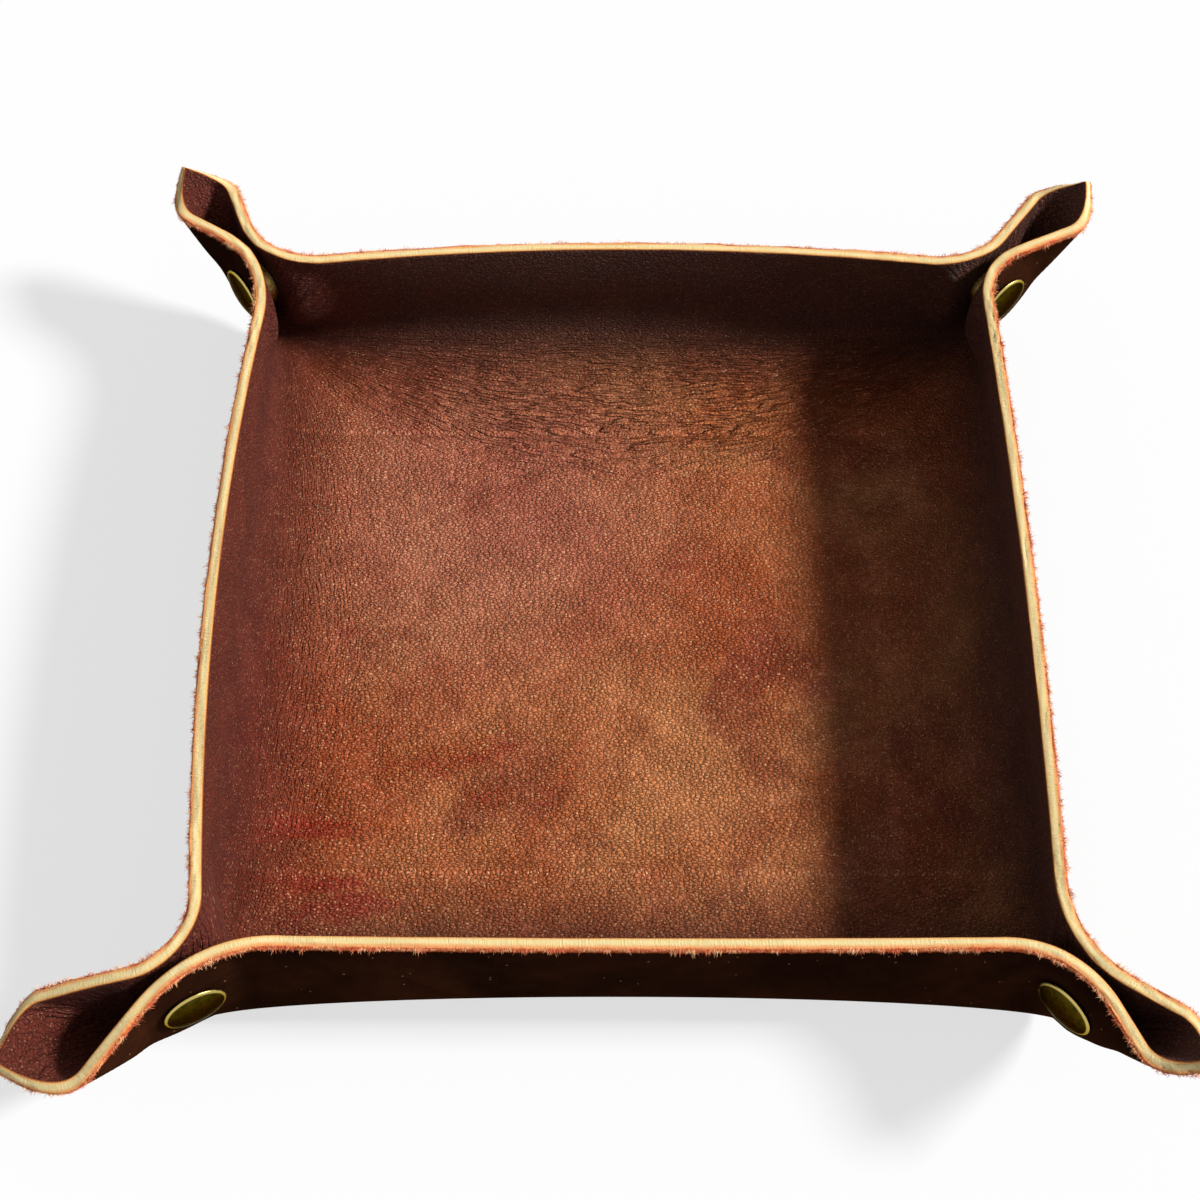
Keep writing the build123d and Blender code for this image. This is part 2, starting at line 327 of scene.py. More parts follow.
@dataclass(frozen=True)
class Wrinkles:
    """Soft wrinkles pressed into the grain by the bends, as depths in millimetres.

    Densities count dips for each radian. Each rise or fall is a start and a reach.
    """

    fold_line: float
    bend_depth: float = 0.26
    left_depth: float = 0.1
    corner_depth: float = 0.3
    bend_density: float = 21.0
    bend_length: float = 0.035
    bend_waver: float = 1.6
    bend_waver_scale: float = 0.04
    bend_rise: Span = (2.0, 0.4)
    bend_fall: Span = (3.05, -0.25)
    end_rise: Span = (4.0, 14.0)
    corner_density: float = 6.5
    corner_length: float = 0.05
    corner_waver_scale: Span = (0.09, 2.0)
    corner_shift: Span = (9.0, 12.0)
    quarter_shift: Span = (3.5, 7.5)
    corner_rise: Span = (5.0, 7.0)
    corner_fall: Span = (52.0, -24.0)
    aside_fall: Span = (2.2, -1.2)
    seed: int = 23

    def depth(self, u: Grid, v: Grid) -> Grid:
        """How deep the grain dips at sheet places along X and Y."""
        back = self.bend(u, v, self.seed) * self.bend_depth
        left = self.bend(v, -u, self.seed + 2) * self.left_depth
        return back + left + self.corner(u, v) * self.corner_depth

    def bend(self, u: Grid, v: Grid, seed: int) -> Grid:
        """Dips along the arcs that join the two corners at the end of v."""
        fold, scale = self.fold_line, self.bend_waver_scale
        left_u, right_u, ahead = -fold - u, fold - u, fold - v
        angle = np.arctan2(abs((left_u - right_u) * ahead), left_u * right_u + ahead**2)
        left_reach, right_reach = np.hypot(left_u, ahead), np.hypot(right_u, ahead)
        lead = left_reach - right_reach
        waver = value_noise(u * scale, v * scale, seed + 4) * self.bend_waver
        dips = value_noise(angle * self.bend_density + waver, lead * self.bend_length, seed)
        band = ramp(angle, *self.bend_rise) * ramp(angle, *self.bend_fall) * (v < fold)
        return dips**2 * band * ramp(np.minimum(left_reach, right_reach), *self.end_rise)

    def corner(self, u: Grid, v: Grid) -> Grid:
        """Dips that fan out of the corners into the ears and the ends of the walls."""
        past_u, past_v = abs(u) - self.fold_line, abs(v) - self.fold_line
        reach = np.hypot(past_u, past_v)
        angle = np.arctan2(past_u - past_v, past_u + past_v)
        quarter = np.sign(u) * self.quarter_shift[0] + np.sign(v) * self.quarter_shift[1]
        reach_scale, angle_scale = self.corner_waver_scale
        waver = value_noise(reach * reach_scale, angle * angle_scale, self.seed + 6)
        across = angle * self.corner_density + waver + self.corner_shift[0]
        along = reach * self.corner_length + quarter + self.corner_shift[1]
        dips = value_noise(across, along, self.seed + 7)
        near = ramp(reach, *self.corner_rise) * ramp(reach, *self.corner_fall)
        return dips**2 * near * ramp(abs(angle), *self.aside_fall)


class EarFan:
    """The fan of straight lines from a floor corner that makes its walls' ends and ear."""

    def __init__(self, form: SheetForm, corner: Corner) -> None:
        """Lay the fan's rays.

        Args:
            form: the sheet that the corner belongs to.
            corner: the corner's own sizes.
        """
        self.form = form
        self.corner = corner
        self.axis = pi / 4 + radians(corner.ear_turn)
        axis_y = pi / 2 - self.axis
        half_x = self.half_section(self.axis, corner.neck_share_x)
        half_y = self.half_section(axis_y, corner.neck_share_y)[::-1, ::-1]
        fade = np.linspace(1, 0, len(half_y))[:, None]
        half_y = half_y + (half_x[-1] - half_y[0]) * fade
        section = np.concatenate([half_x, half_y[1:]])
        self.rays = unit(np.column_stack([section, np.ones(len(section))]))
        turns = np.arccos(np.clip(np.sum(self.rays[1:] * self.rays[:-1], axis=1), -1, 1))
        self.shares = np.concatenate([[0], np.cumsum(turns)]) / np.sum(turns)
        self.first = np.arctan(section[0, 0] * cos(form.lean))
        self.last = pi / 2 - np.arctan(section[-1, 1] * cos(form.lean))
        self.pinch_share = (self.pinch(self.axis, corner.neck_share_x)
                            + self.pinch(axis_y, corner.neck_share_y)) / 2

    @staticmethod
    def arc(start: Grid, first: float, last: float, radius: float, count: int = 24) -> Grid:
        """Points of an arc from start that turns between two headings."""
        heading = np.linspace(first, last, count)
        side = np.stack([np.sin(heading), -np.cos(heading)], axis=-1)
        return start + radius * (side - side[0])

    def start_x(self, axis: float, neck_share: float) -> float:
        """Where the neck's arc starts on the wall's line, at unit height."""
        offset = tan(self.form.lean)
        bend = neck_share * (1 - cos(axis))
        return (offset * cos(axis) - bend - self.corner.gap_share) / sin(axis)

    def half_section(self, axis: float, neck_share: float) -> Grid:
        """Half of the corner's level cut at unit height, from the wall to the ear's ridge."""
        spread = radians(self.corner.ear_spread)
        run = self.corner.side_share
        gap = self.corner.gap_share
        start = np.array([self.start_x(axis, neck_share), tan(self.form.lean)])
        neck = self.arc(start, 0, axis + spread, neck_share)
        side = neck[-1] + run * np.array([cos(axis + spread), sin(axis + spread)])
        half_width = gap + neck_share * (1 - cos(spread)) + run * sin(spread)
        belly = self.arc(side, axis + spread, axis - pi / 2, -half_width / cos(spread))
        return np.concatenate([neck, belly])

    def pinch(self, axis: float, neck_share: float) -> float:
        """How far along the ear's axis a wall comes nearest to it, at unit height."""
        start = self.start_x(axis, neck_share)
        return start * cos(axis) + tan(self.form.lean) * sin(axis) + neck_share * sin(axis)

    def ray(self, angle: Grid) -> Grid:
        """Unit directions of the lines at sheet angles, counted from the X wall."""
        share = (angle - self.first) / (self.last - self.first)
        parts = [np.interp(share, self.shares, self.rays[:, k]) for k in range(3)]
        return unit(np.stack(parts, axis=-1))


class SnapFrame:
    """Where a corner's snap sits: its axis runs from the Y wall to the X wall."""

    def __init__(self, form: SheetForm, fan: EarFan) -> None:
        """Place the snap on the pinch.

        Args:
            form: the sheet that the snap is set in.
            fan: the fan of the snap's corner.
        """
        sides = np.array([fan.corner.side_x, fan.corner.side_y, 1])
        self.along = np.array([cos(fan.axis), sin(fan.axis), 0]) * sides
        self.normal = np.array([-sin(fan.axis), cos(fan.axis), 0]) * sides
        pinch = fan.pinch_share * (form.snap.height - form.half_thickness)
        self.centre = np.array([form.fold_line, form.fold_line, 0]) * sides + self.along * pinch
        self.centre[2] = form.snap.height
        self.cap_side = self.normal * (1 if fan.corner.cap_on_x_wall else -1)


# Node trees


class Tree:
    """A thin hand on a node tree: it adds nodes, sets their inputs and links them."""

    def __init__(self, tree: Nodes) -> None:
        """Start from an empty tree.

        Args:
            tree: a shader or geometry node tree.
        """
        self.tree = tree
        tree.nodes.clear()

    def add(self, kind: str, settings: dict | None = None, **inputs: object) -> bpy.types.Node:
        """Add a node.

        Args:
            kind: the node's type name.
            settings: attributes to set on it.
            inputs: values or sockets for its inputs, named with _ for a space, or i0, i1 by place.

        Returns:
            The node.
        """
        node = self.tree.nodes.new(kind)
        for name, value in (settings or {}).items():
            setattr(node, name, value)
        for name, value in inputs.items():
            place = name[1:].isdigit() and name[0] == "i"
            socket = node.inputs[int(name[1:])] if place else node.inputs[name.replace("_", " ")]
            self.put(socket, value)
        return node

    def first(self, kind: str, settings: dict | None = None, **inputs: object) -> Socket:
        """First output of an added node."""
        return self.add(kind, settings, **inputs).outputs[0]

    def put(self, socket: Socket, value: object) -> None:
        """Set a socket to a value, or link another socket to it."""
        if isinstance(value, Socket):
            self.tree.links.new(value, socket)
        else:
            socket.default_value = value

    def maths(self, operation: str, first: object, second: object = 0.0,
              third: object = 0.0) -> Socket:
        """Output of a Math node."""
        return self.first("ShaderNodeMath", {"operation": operation}, i0=first, i1=second, i2=third)

    def times(self, first: object, second: object) -> Socket:
        """Product of two numbers."""
        return self.maths("MULTIPLY", first, second)

    def minus(self, first: object, second: object) -> Socket:
        """Difference of two numbers."""
        return self.maths("SUBTRACT", first, second)

    def scaled(self, value: object, factor: object, offset: object) -> Socket:
        """A number times a factor, plus an offset."""
        return self.maths("MULTIPLY_ADD", value, factor, offset)

    def size(self, value: object) -> Socket:
        """A number without its sign."""
        return self.maths("ABSOLUTE", value)

    def larger(self, first: object, second: object) -> Socket:
        """The larger of two numbers."""
        return self.maths("MAXIMUM", first, second)

    def vector(self, operation: str, *places: object) -> Socket:
        """Output of a Vector Math node: a number where the operation gives one."""
        inputs = {f"i{k}": place for k, place in enumerate(places)}
        node = self.add("ShaderNodeVectorMath", {"operation": operation}, **inputs)
        return node.outputs[1 if operation in ("LENGTH", "DISTANCE", "DOT_PRODUCT") else 0]

    def stretched(self, place: object, factor: object) -> Socket:
        """A place times a number."""
        return self.first("ShaderNodeVectorMath", {"operation": "SCALE"}, i0=place, Scale=factor)

    def mapped(self, place: object, **settings: Point) -> Socket:
        """A place moved, turned and stretched."""
        return self.first("ShaderNodeMapping", i0=place, **settings)

    def parts(self, place: object) -> list[Socket]:
        """X, Y and Z of a place."""
        return list(self.add("ShaderNodeSeparateXYZ", i0=place).outputs)

    def joined(self, x: object, y: object = 0.0, z: object = 0.0) -> Socket:
        """A place made of its X, Y and Z."""
        return self.first("ShaderNodeCombineXYZ", i0=x, i1=y, i2=z)

    def mix(self, share: object, first: object, second: object) -> Socket:
        """Output of a colour Mix node."""
        node = self.add("ShaderNodeMix", {"data_type": "RGBA"}, i0=share, i6=first, i7=second)
        return node.outputs[2]

    def tint(self, base: object, mask: object, strength: object, colour: object) -> Socket:
        """A base mixed with a colour where a mask is, at a strength."""
        return self.mix(self.times(mask, strength), base, colour)

    def span(self, value: object, low: object, high: object, to_low: float = 0.0,
             to_high: float = 1.0) -> Socket:
        """Output of a smooth Map Range node."""
        return self.first("ShaderNodeMapRange", {"interpolation_type": "SMOOTHSTEP"}, i0=value,
                          i1=low, i2=high, i3=to_low, i4=to_high)

    def fall(self, value: object, low: object, high: object) -> Socket:
        """1 up to the low value, falling smoothly to 0 at the high one."""
        return self.span(value, low, high, 1.0, 0.0)

    def noise(self, place: object, scale: float, detail: float = 4.0, roughness: float = 0.55,
              warp: float = 0.0) -> Socket:
        """Value of a Noise Texture."""
        return self.first("ShaderNodeTexNoise", Vector=place, Scale=scale, Detail=detail,
                          Roughness=roughness, Distortion=warp)

    def valleys(self, ridges: object, width: float) -> Socket:
        """0 along the lines where a noise crosses its middle, 1 past their width."""
        return self.span(self.size(self.minus(ridges, 0.5)), 0.0, width)


class GroupName(Enum):
    """Shared effects that the finishes are built from."""

    PEBBLES = "pebble grain"
    CREASES = "bend creases"
    FANS = "corner wrinkles"
    MOTTLE = "dye mottle"
    # These flecks serve as dust and also as painted glints.
    FLECKS = "dust flecks"
    SCRATCHES = "fine scratches"


class Effects:
    """Builds each shared effect once, as a shader node group. Places are in millimetres.

    A fade is where a smooth step starts and ends, with its two results where they aren't 0
    and 1. A run is how fast lines change along their length.
    """

    pebble_warp, pebble_fade = 1.2, (0.0, 0.16)
    fine_share, finest_share = 0.6, 0.16
    crease_run, crease_waver, crease_width = 0.035, 4.0, 0.13
    patch_fade, patch_share, even_share = (0.35, 0.62), 0.5, 0.5
    far_reach, near_reach = 0.5, 0.45
    beyond_fade, end_fade = (-1.0, 1.0, 0.12, 1.0), (3.0, 14.0)
    fan_run, fan_width = 0.06, 0.12
    fan_numbers = (3.0, 7.0, 0.0)
    fan_start, fan_end, fan_aside = (4.0, 10.0), (26.0, 56.0), (0.8, 2.3)
    large_fade, small_fade = (0.36, 0.66), (0.34, 0.68)
    scratch_turn, scratch_stretch = (0.3, 0.9, 0.7), (0.25, 3.0, 3.0)
    line_fade, spot_fade = (0.5, 0.72), (0.4, 0.68)

    def __init__(self) -> None:
        """Build the groups."""
        makers = (self.pebbles, self.creases, self.corner_wrinkles, self.mottle, self.flecks,
                  self.scratches)
        self.groups = {name: make() for name, make in zip(GroupName, makers)}

    @staticmethod
    def opened(name: GroupName, outputs: tuple[str, ...],
               **inputs: float | None) -> tuple[Tree, list[Socket]]:
        """Make a group with its named sockets.

        Args:
            name: the effect.
            outputs: names of the numbers that it gives.
            inputs: the default of each input, or None for a vector.

        Returns:
            The tree, and the sockets that give its inputs.
        """
        group = bpy.data.node_groups.new(name.value, "ShaderNodeTree")
        for label, default in inputs.items():
            kind = "NodeSocketVector" if default is None else "NodeSocketFloat"
            socket = group.interface.new_socket(name=label, in_out="INPUT", socket_type=kind)
            if default is not None:
                socket.default_value = default
        for label in outputs:
            group.interface.new_socket(name=label, in_out="OUTPUT", socket_type="NodeSocketFloat")
        tree = Tree(group)
        return tree, list(tree.add("NodeGroupInput").outputs)[:len(inputs)]

    @staticmethod
    def closed(tree: Tree, *values: Socket) -> Nodes:
        """Link a group's outputs in order."""
        tree.add("NodeGroupOutput", **{f"i{k}": value for k, value in enumerate(values)})
        return tree.tree

    def pebbles(self) -> Nodes:
        """Fine rounded pebbles of tanned grain, with pores between them."""
        tree, (place, scale) = self.opened(
            GroupName.PEBBLES, ("Height", "Pores"), Place=None, Scale=1.0)
        place = tree.stretched(place, scale)
        warp = tree.add("ShaderNodeTexNoise", Vector=place, Scale=0.35, Detail=3.0).outputs[1]
        bent = tree.vector("ADD", place, tree.stretched(warp, self.pebble_warp))
        cells = tree.first("ShaderNodeTexVoronoi", {"feature": "SMOOTH_F1"}, Vector=bent,
                           Scale=1.0, Smoothness=0.5, Randomness=1.0)
        edges = tree.first("ShaderNodeTexVoronoi", {"feature": "DISTANCE_TO_EDGE"}, Vector=bent,
                           Scale=1.0)
        valley = tree.span(edges, *self.pebble_fade)
        fine = tree.noise(place, scale=2.3, detail=5.0, roughness=0.62)
        finest = tree.noise(place, scale=6.5, detail=2.0, roughness=0.6)
        height = tree.times(tree.minus(1.0, cells), valley)
        height = tree.scaled(fine, self.fine_share, height)
        return self.closed(tree, tree.scaled(finest, self.finest_share, height), valley)

    def creases(self) -> Nodes:
        """Long creases along the arcs that join two corners of the floor."""
        tree, (place, first, second, density, near, far) = self.opened(
            GroupName.CREASES, ("Height", "Mask"),
            Place=None, First=None, Second=None, Density=24.0, Near=2.2, Far=1.2)
        arms = [tree.vector("SUBTRACT", corner, place) for corner in (first, second)]
        turn = tree.parts(tree.vector("CROSS_PRODUCT", *arms))[2]
        angle = tree.maths("ARCTAN2", tree.size(turn), tree.vector("DOT_PRODUCT", *arms))
        reaches = [tree.vector("LENGTH", arm) for arm in arms]
        lines = tree.joined(tree.times(angle, density),
                            tree.times(tree.minus(*reaches), self.crease_run))
        waver = tree.noise(place, scale=0.03, detail=3.0)
        shift = tree.joined(tree.times(waver, self.crease_waver))
        ridges = tree.noise(tree.vector("ADD", lines, shift), scale=1.0, detail=2.5, warp=0.15)
        patchy = tree.span(tree.noise(place, scale=0.05, detail=3.0), *self.patch_fade)
        rise = tree.span(angle, far, tree.maths("ADD", far, self.far_reach))
        fall = tree.fall(angle, near, tree.maths("ADD", near, self.near_reach))
        within = tree.span(turn, *self.beyond_fade)
        ends = tree.span(tree.maths("MINIMUM", *reaches), *self.end_fade)
        band = tree.times(tree.times(tree.times(rise, fall), within), ends)
        mask = tree.times(band, tree.scaled(patchy, self.patch_share, self.even_share))
        height = tree.times(tree.valleys(ridges, self.crease_width), mask)
        return self.closed(tree, height, mask)

    def corner_wrinkles(self) -> Nodes:
        """Wrinkles that fan out from a pinched corner of the floor into its ear and walls."""
        tree, (place, corner, density) = self.opened(
            GroupName.FANS, ("Height",), Place=None, Corner=None, Density=11.0)
        past = tree.vector("SUBTRACT", tree.vector("ABSOLUTE", place), corner)
        x, y, _ = tree.parts(past)
        angle = tree.maths("ARCTAN2", tree.minus(x, y), tree.maths("ADD", x, y))
        reach = tree.vector("LENGTH", past)
        number = tree.vector("DOT_PRODUCT", tree.vector("SIGN", place), self.fan_numbers)
        lines = tree.joined(tree.times(angle, density), tree.times(reach, self.fan_run), number)
        ridges = tree.noise(lines, scale=1.0, detail=3.0, warp=0.4)
        dip = tree.minus(tree.valleys(ridges, self.fan_width), 1.0)
        near = tree.times(tree.span(reach, *self.fan_start), tree.fall(reach, *self.fan_end))
        aside = tree.fall(tree.size(angle), *self.fan_aside)
        return self.closed(tree, tree.times(dip, tree.times(near, aside)))

    def mottle(self) -> Nodes:
        """Soft uneven patches, as dye takes in leather."""
        tree, (place, scale) = self.opened(
            GroupName.MOTTLE, ("Large", "Small"), Place=None, Scale=1.0)
        place = tree.stretched(place, scale)
        large = tree.noise(place, scale=0.016, detail=3.0, roughness=0.55, warp=0.6)
        small = tree.noise(place, scale=0.16, detail=6.0, roughness=0.62)
        return self.closed(tree, tree.span(large, *self.large_fade),
                           tree.span(small, *self.small_fade))

    def flecks(self) -> Nodes:
        """Sparse pale flecks, used for dust and broken fibre and for painted glints."""
        tree, (place, scale, size, share) = self.opened(
            GroupName.FLECKS, ("Mask",), Place=None, Scale=0.5, Size=0.09, Share=0.9)
        away, chance = list(tree.add("ShaderNodeTexVoronoi", {"feature": "F1"}, Vector=place,
                                     Scale=scale).outputs)[:2]
        chosen = tree.maths("GREATER_THAN", tree.first("ShaderNodeSeparateColor", i0=chance), share)
        return self.closed(tree, tree.times(chosen, tree.maths("LESS_THAN", away, size)))

    def scratches(self) -> Nodes:
        """Fine random scratches and dull spots on handled metal."""
        tree, (place, scale) = self.opened(
            GroupName.SCRATCHES, ("Lines", "Spots"), Place=None, Scale=1.0)
        place = tree.stretched(place, scale)
        long_way = tree.mapped(place, Rotation=self.scratch_turn, Scale=self.scratch_stretch)
        lines = tree.noise(long_way, scale=1.4, detail=6.0, roughness=0.7)
        spots = tree.noise(place, scale=0.7, detail=6.0, roughness=0.65)
        return self.closed(tree, tree.span(lines, *self.line_fade),
                           tree.span(spots, *self.spot_fade))


# Finishes


class Finish:
    """A material with one Principled shader, filled by its subclass."""

    name = "finish"

    def __init__(self, effects: Effects) -> None:
        """Build the material.

        Args:
            effects: the shared effects.
        """
        self.effects = effects
        self.material = bpy.data.materials.new(self.name)
        self.material.use_nodes = True
        self.tree = Tree(self.material.node_tree)
        self.shader = self.tree.add("ShaderNodeBsdfPrincipled")
        self.tree.add("ShaderNodeOutputMaterial", i0=self.shader.outputs[0])
        self.fill()

    def fill(self) -> None:
        """Set the shader's inputs."""

    def give(self, **inputs: object) -> None:
        """Set or link the shader's inputs, named with _ for a space."""
        for label, value in inputs.items():
            self.tree.put(self.shader.inputs[label.replace("_", " ")], value)

    def effect(self, name: GroupName, **inputs: object) -> list[Socket]:
        """Outputs of a shared effect."""
        node = self.tree.add("ShaderNodeGroup", {"node_tree": self.effects.groups[name]}, **inputs)
        return list(node.outputs)

    def sheet_place(self) -> Socket:
        """Place on the flat sheet, in millimetres."""
        uv = self.tree.first("ShaderNodeUVMap", {"uv_map": "sheet"})
        return self.tree.stretched(uv, PER_METRE)

    def object_place(self) -> Socket:
        """Place on the piece, in millimetres."""
        here = self.tree.add("ShaderNodeTexCoord").outputs["Object"]
        return self.tree.stretched(here, PER_METRE)

    def bump(self, height: object, distance: float, strength: float) -> Socket:
        """Normal of a Bump node."""
        return self.tree.first("ShaderNodeBump", Strength=strength, Distance=distance,
                               Height=height)


class GrainFinish(Finish):
    """The tanned, glossy face of the leather: floor, inner walls and ears.

    Spots and spans are in millimetres on the flat sheet. A tint is a strength and a colour. A
    pair of shares is what the wall adds and what the floor has. A fade is where a smooth step
    starts and ends, and a relief is a fade with the pebbles' heights at its two ends.
    """

    name = "leather_grain"
    fold = SheetForm.blank_side / 2 - SheetForm.wall_height
    back_bend = {"Density": 27.0, "Near": 2.9, "Far": 2.0}
    left_bend = {"Density": 32.0, "Near": 2.9, "Far": 2.3}
    front_bend = {"Density": 32.0, "Near": 2.9, "Far": 2.45}
    bend_shares = (1.3, 0.3, 0.4)
    fan_share = 0.9
    # The front wall's mask reaches this much further in, which paints a shadow strip on the floor
    # along the front wall.
    front_line = 12.0
    wall_span = (72.0, 112.0)
    left_span = (-58.0, -98.0)
    # A pale pinkish pool on the upper left of the floor is a painted sky reflection.
    haze_spot, haze_span = (-45.0, 45.0, 0.0), (20.0, 85.0)
    streak_spot, streak_span = (-75.0, -45.0, 0.0), (25.0, 75.0)
    dark_dye, light_dye = srgb(202, 100, 50), srgb(236, 150, 90)
    # On the right, back and front walls this tint is darker dye and painted shade, far darker than
    # the left wall's dye.
    wall_dye, left_wall_dye, wall_share = srgb(48, 21, 14), srgb(94, 27, 14), 0.93
    red_dye, red_share, red_left_share = srgb(140, 44, 24), 0.6, 0.75
    haze_tint = (0.62, srgb(214, 128, 108))
    patch_tint = (0.3, srgb(118, 58, 32))
    streak_tint = (0.85, srgb(176, 48, 22))
    # Darker colour in the pores between the pebbles is painted shade.
    pore_tint = (0.24, srgb(70, 30, 17))
    # Darker colour along the creases is painted shade.
    crease_tint = (0.2, srgb(54, 23, 14))
    dust_tint = (0.7, srgb(214, 178, 140))
    # Dark speckle is grain texture; the extra share that the walls add is painted shade.
    dim_speckle, dim_shares = srgb(60, 22, 14), (0.36, 0.24)
    bright_speckle, bright_shares = srgb(218, 112, 70), (-0.1, 0.16)
    # Glints are painted highlights: bright warm flecks in the colour, fewer on the walls.
    glint, glint_shares = srgb(255, 206, 150), (-0.38, 0.55)
    gloss, gloss_patch, gloss_wall, gloss_pore = 0.22, 0.1, 0.34, 0.2
    specular = 0.28
    relief_depth, relief_shares = 0.0014, (-0.15, 1.0)
    crease_relief, patch_relief = (0.0, -1.2, 0.55, 0.3), (0.3, 0.7, 0.6, 1.25)
    pebble_stretch, pebble_scale = (0.8, 1.14, 1.0), 1.08
    red_shift, red_fade = (40.0, 10.0, 0.0), (0.5, 0.66)
    streak_turn, streak_stretch, streak_fade = (0.0, 0.0, 0.5), (0.35, 1.0, 1.0), (0.52, 0.62)
    speckle_fade, crease_fade = (0.4, 0.64), (-0.1, -0.9)
    glints = {"Scale": 1.25, "Size": 0.27, "Share": 0.55}
    dust = {"Scale": 0.2, "Size": 0.05, "Share": 0.86}

    def fill(self) -> None:
        """Set the shader's inputs."""
        tree = self.tree
        place = self.sheet_place()
        x, y, _ = tree.parts(place)
        patches = self.effect(GroupName.MOTTLE, Place=place)
        pebbles, gaps = self.effect(
            GroupName.PEBBLES, Place=tree.mapped(place, Scale=self.pebble_stretch),
            Scale=self.pebble_scale)
        pores = tree.minus(1.0, gaps)
        creases = self.creases(place)
        # The front end reaches further in here, for the painted shadow strip along the front wall.
        ends = tree.larger(tree.minus(self.front_line, y), y)
        wall = tree.span(tree.larger(tree.size(x), ends), *self.wall_span)
        left = tree.span(x, *self.left_span)
        dyed = self.dyed(place, patches, wall, left)
        shine = tree.scaled(patches[1], self.gloss_patch, self.gloss)
        shine = tree.scaled(wall, self.gloss_wall, shine)
        relief = tree.span(creases, *self.crease_relief)
        uneven = tree.noise(place, scale=0.07, detail=3.0)
        relief = tree.times(relief, tree.span(uneven, *self.patch_relief))
        relief = tree.times(relief, tree.scaled(wall, *self.relief_shares))
        self.give(
            Base_Color=self.flecked(place, dyed, pores, creases, wall),
            Roughness=tree.scaled(pores, self.gloss_pore, shine),
            Specular_IOR_Level=self.specular,
            Normal=self.bump(tree.scaled(pebbles, relief, creases), self.relief_depth, 1.0))

    def creases(self, place: Socket) -> Socket:
        """Depth, below zero, of the creases in three bends and the fans in the corners."""
        tree, fold = self.tree, self.fold
        corners = ((fold, fold, 0), (-fold, fold, 0), (-fold, -fold, 0), (fold, -fold, 0))
        bends = (self.back_bend, self.left_bend, self.front_bend)
        depth = 0.0
        for first, second, bend, share in zip(corners, corners[1:], bends, self.bend_shares):
            height, mask = self.effect(
                GroupName.CREASES, Place=place, First=first, Second=second, **bend)
            depth = tree.scaled(tree.minus(height, mask), share, depth)
        fans = self.effect(GroupName.FANS, Place=place, Corner=corners[0])[0]
        return tree.scaled(fans, self.fan_share, depth)

    def dyed(self, place: Socket, patches: list[Socket], wall: Socket, left: Socket) -> Socket:
        """Colour of the dye, from the mottle and masks of the walls and the left side, with painted
        shade on the walls and a painted sky reflection on the floor.
        """
        tree = self.tree
        brown = tree.mix(patches[0], self.dark_dye, self.light_dye)
        # Painted sky reflection: a pale pinkish pool on the upper left of the floor.
        haze = tree.fall(tree.vector("DISTANCE", place, self.haze_spot), *self.haze_span)
        brown = tree.tint(brown, haze, *self.haze_tint)
        red_place = tree.mapped(place, Location=self.red_shift)
        red = tree.noise(red_place, scale=0.022, roughness=0.6, warp=0.8)
        red = tree.span(red, *self.red_fade)
        red = tree.larger(tree.times(red, self.red_share), tree.times(left, self.red_left_share))
        brown = tree.mix(red, brown, self.red_dye)
        brown = tree.tint(brown, patches[1], *self.patch_tint)
        long_way = tree.mapped(place, Rotation=self.streak_turn, Scale=self.streak_stretch)
        streak = tree.noise(long_way, scale=0.055, detail=5.0, roughness=0.62, warp=0.6)
        streak = tree.span(streak, *self.streak_fade)
        near = tree.fall(tree.vector("DISTANCE", place, self.streak_spot), *self.streak_span)
        brown = tree.tint(brown, tree.times(streak, near), *self.streak_tint)
        # The walls' tint: the left wall's darker red dye, and on the other walls darker dye with
        # painted shade.
        deep = tree.mix(left, self.wall_dye, self.left_wall_dye)
        return tree.tint(brown, wall, self.wall_share, deep)

    def flecked(self, place: Socket, brown: Socket, pores: Socket, creases: Socket,
                wall: Socket) -> Socket:
        """The dye's colour with painted shade in its pores and creases, speckles, painted glints
        and dust.
        """
        tree = self.tree
        # Painted shade: darker colour in the pores between the pebbles.
        brown = tree.tint(brown, pores, *self.pore_tint)
        speckle = tree.noise(place, scale=1.7, detail=3.0, roughness=0.7)
        speckle = tree.span(speckle, *self.speckle_fade)
        # Dark speckle: grain texture, with an extra share on the walls that is painted shade.
        dim = tree.mix(tree.scaled(wall, *self.dim_shares), brown, self.dim_speckle)
        bright = tree.mix(tree.scaled(wall, *self.bright_shares), brown, self.bright_speckle)
        brown = tree.mix(speckle, dim, bright)
        # Painted highlights: bright warm glint flecks in the colour.
        glints = self.effect(GroupName.FLECKS, Place=place, **self.glints)[0]
        brown = tree.tint(brown, glints, tree.scaled(wall, *self.glint_shares), self.glint)
        # Painted shade: darker colour along the creases.
        brown = tree.tint(brown, tree.span(creases, *self.crease_fade), *self.crease_tint)
        dust = self.effect(GroupName.FLECKS, Place=place, **self.dust)[0]
        return tree.tint(brown, dust, *self.dust_tint)


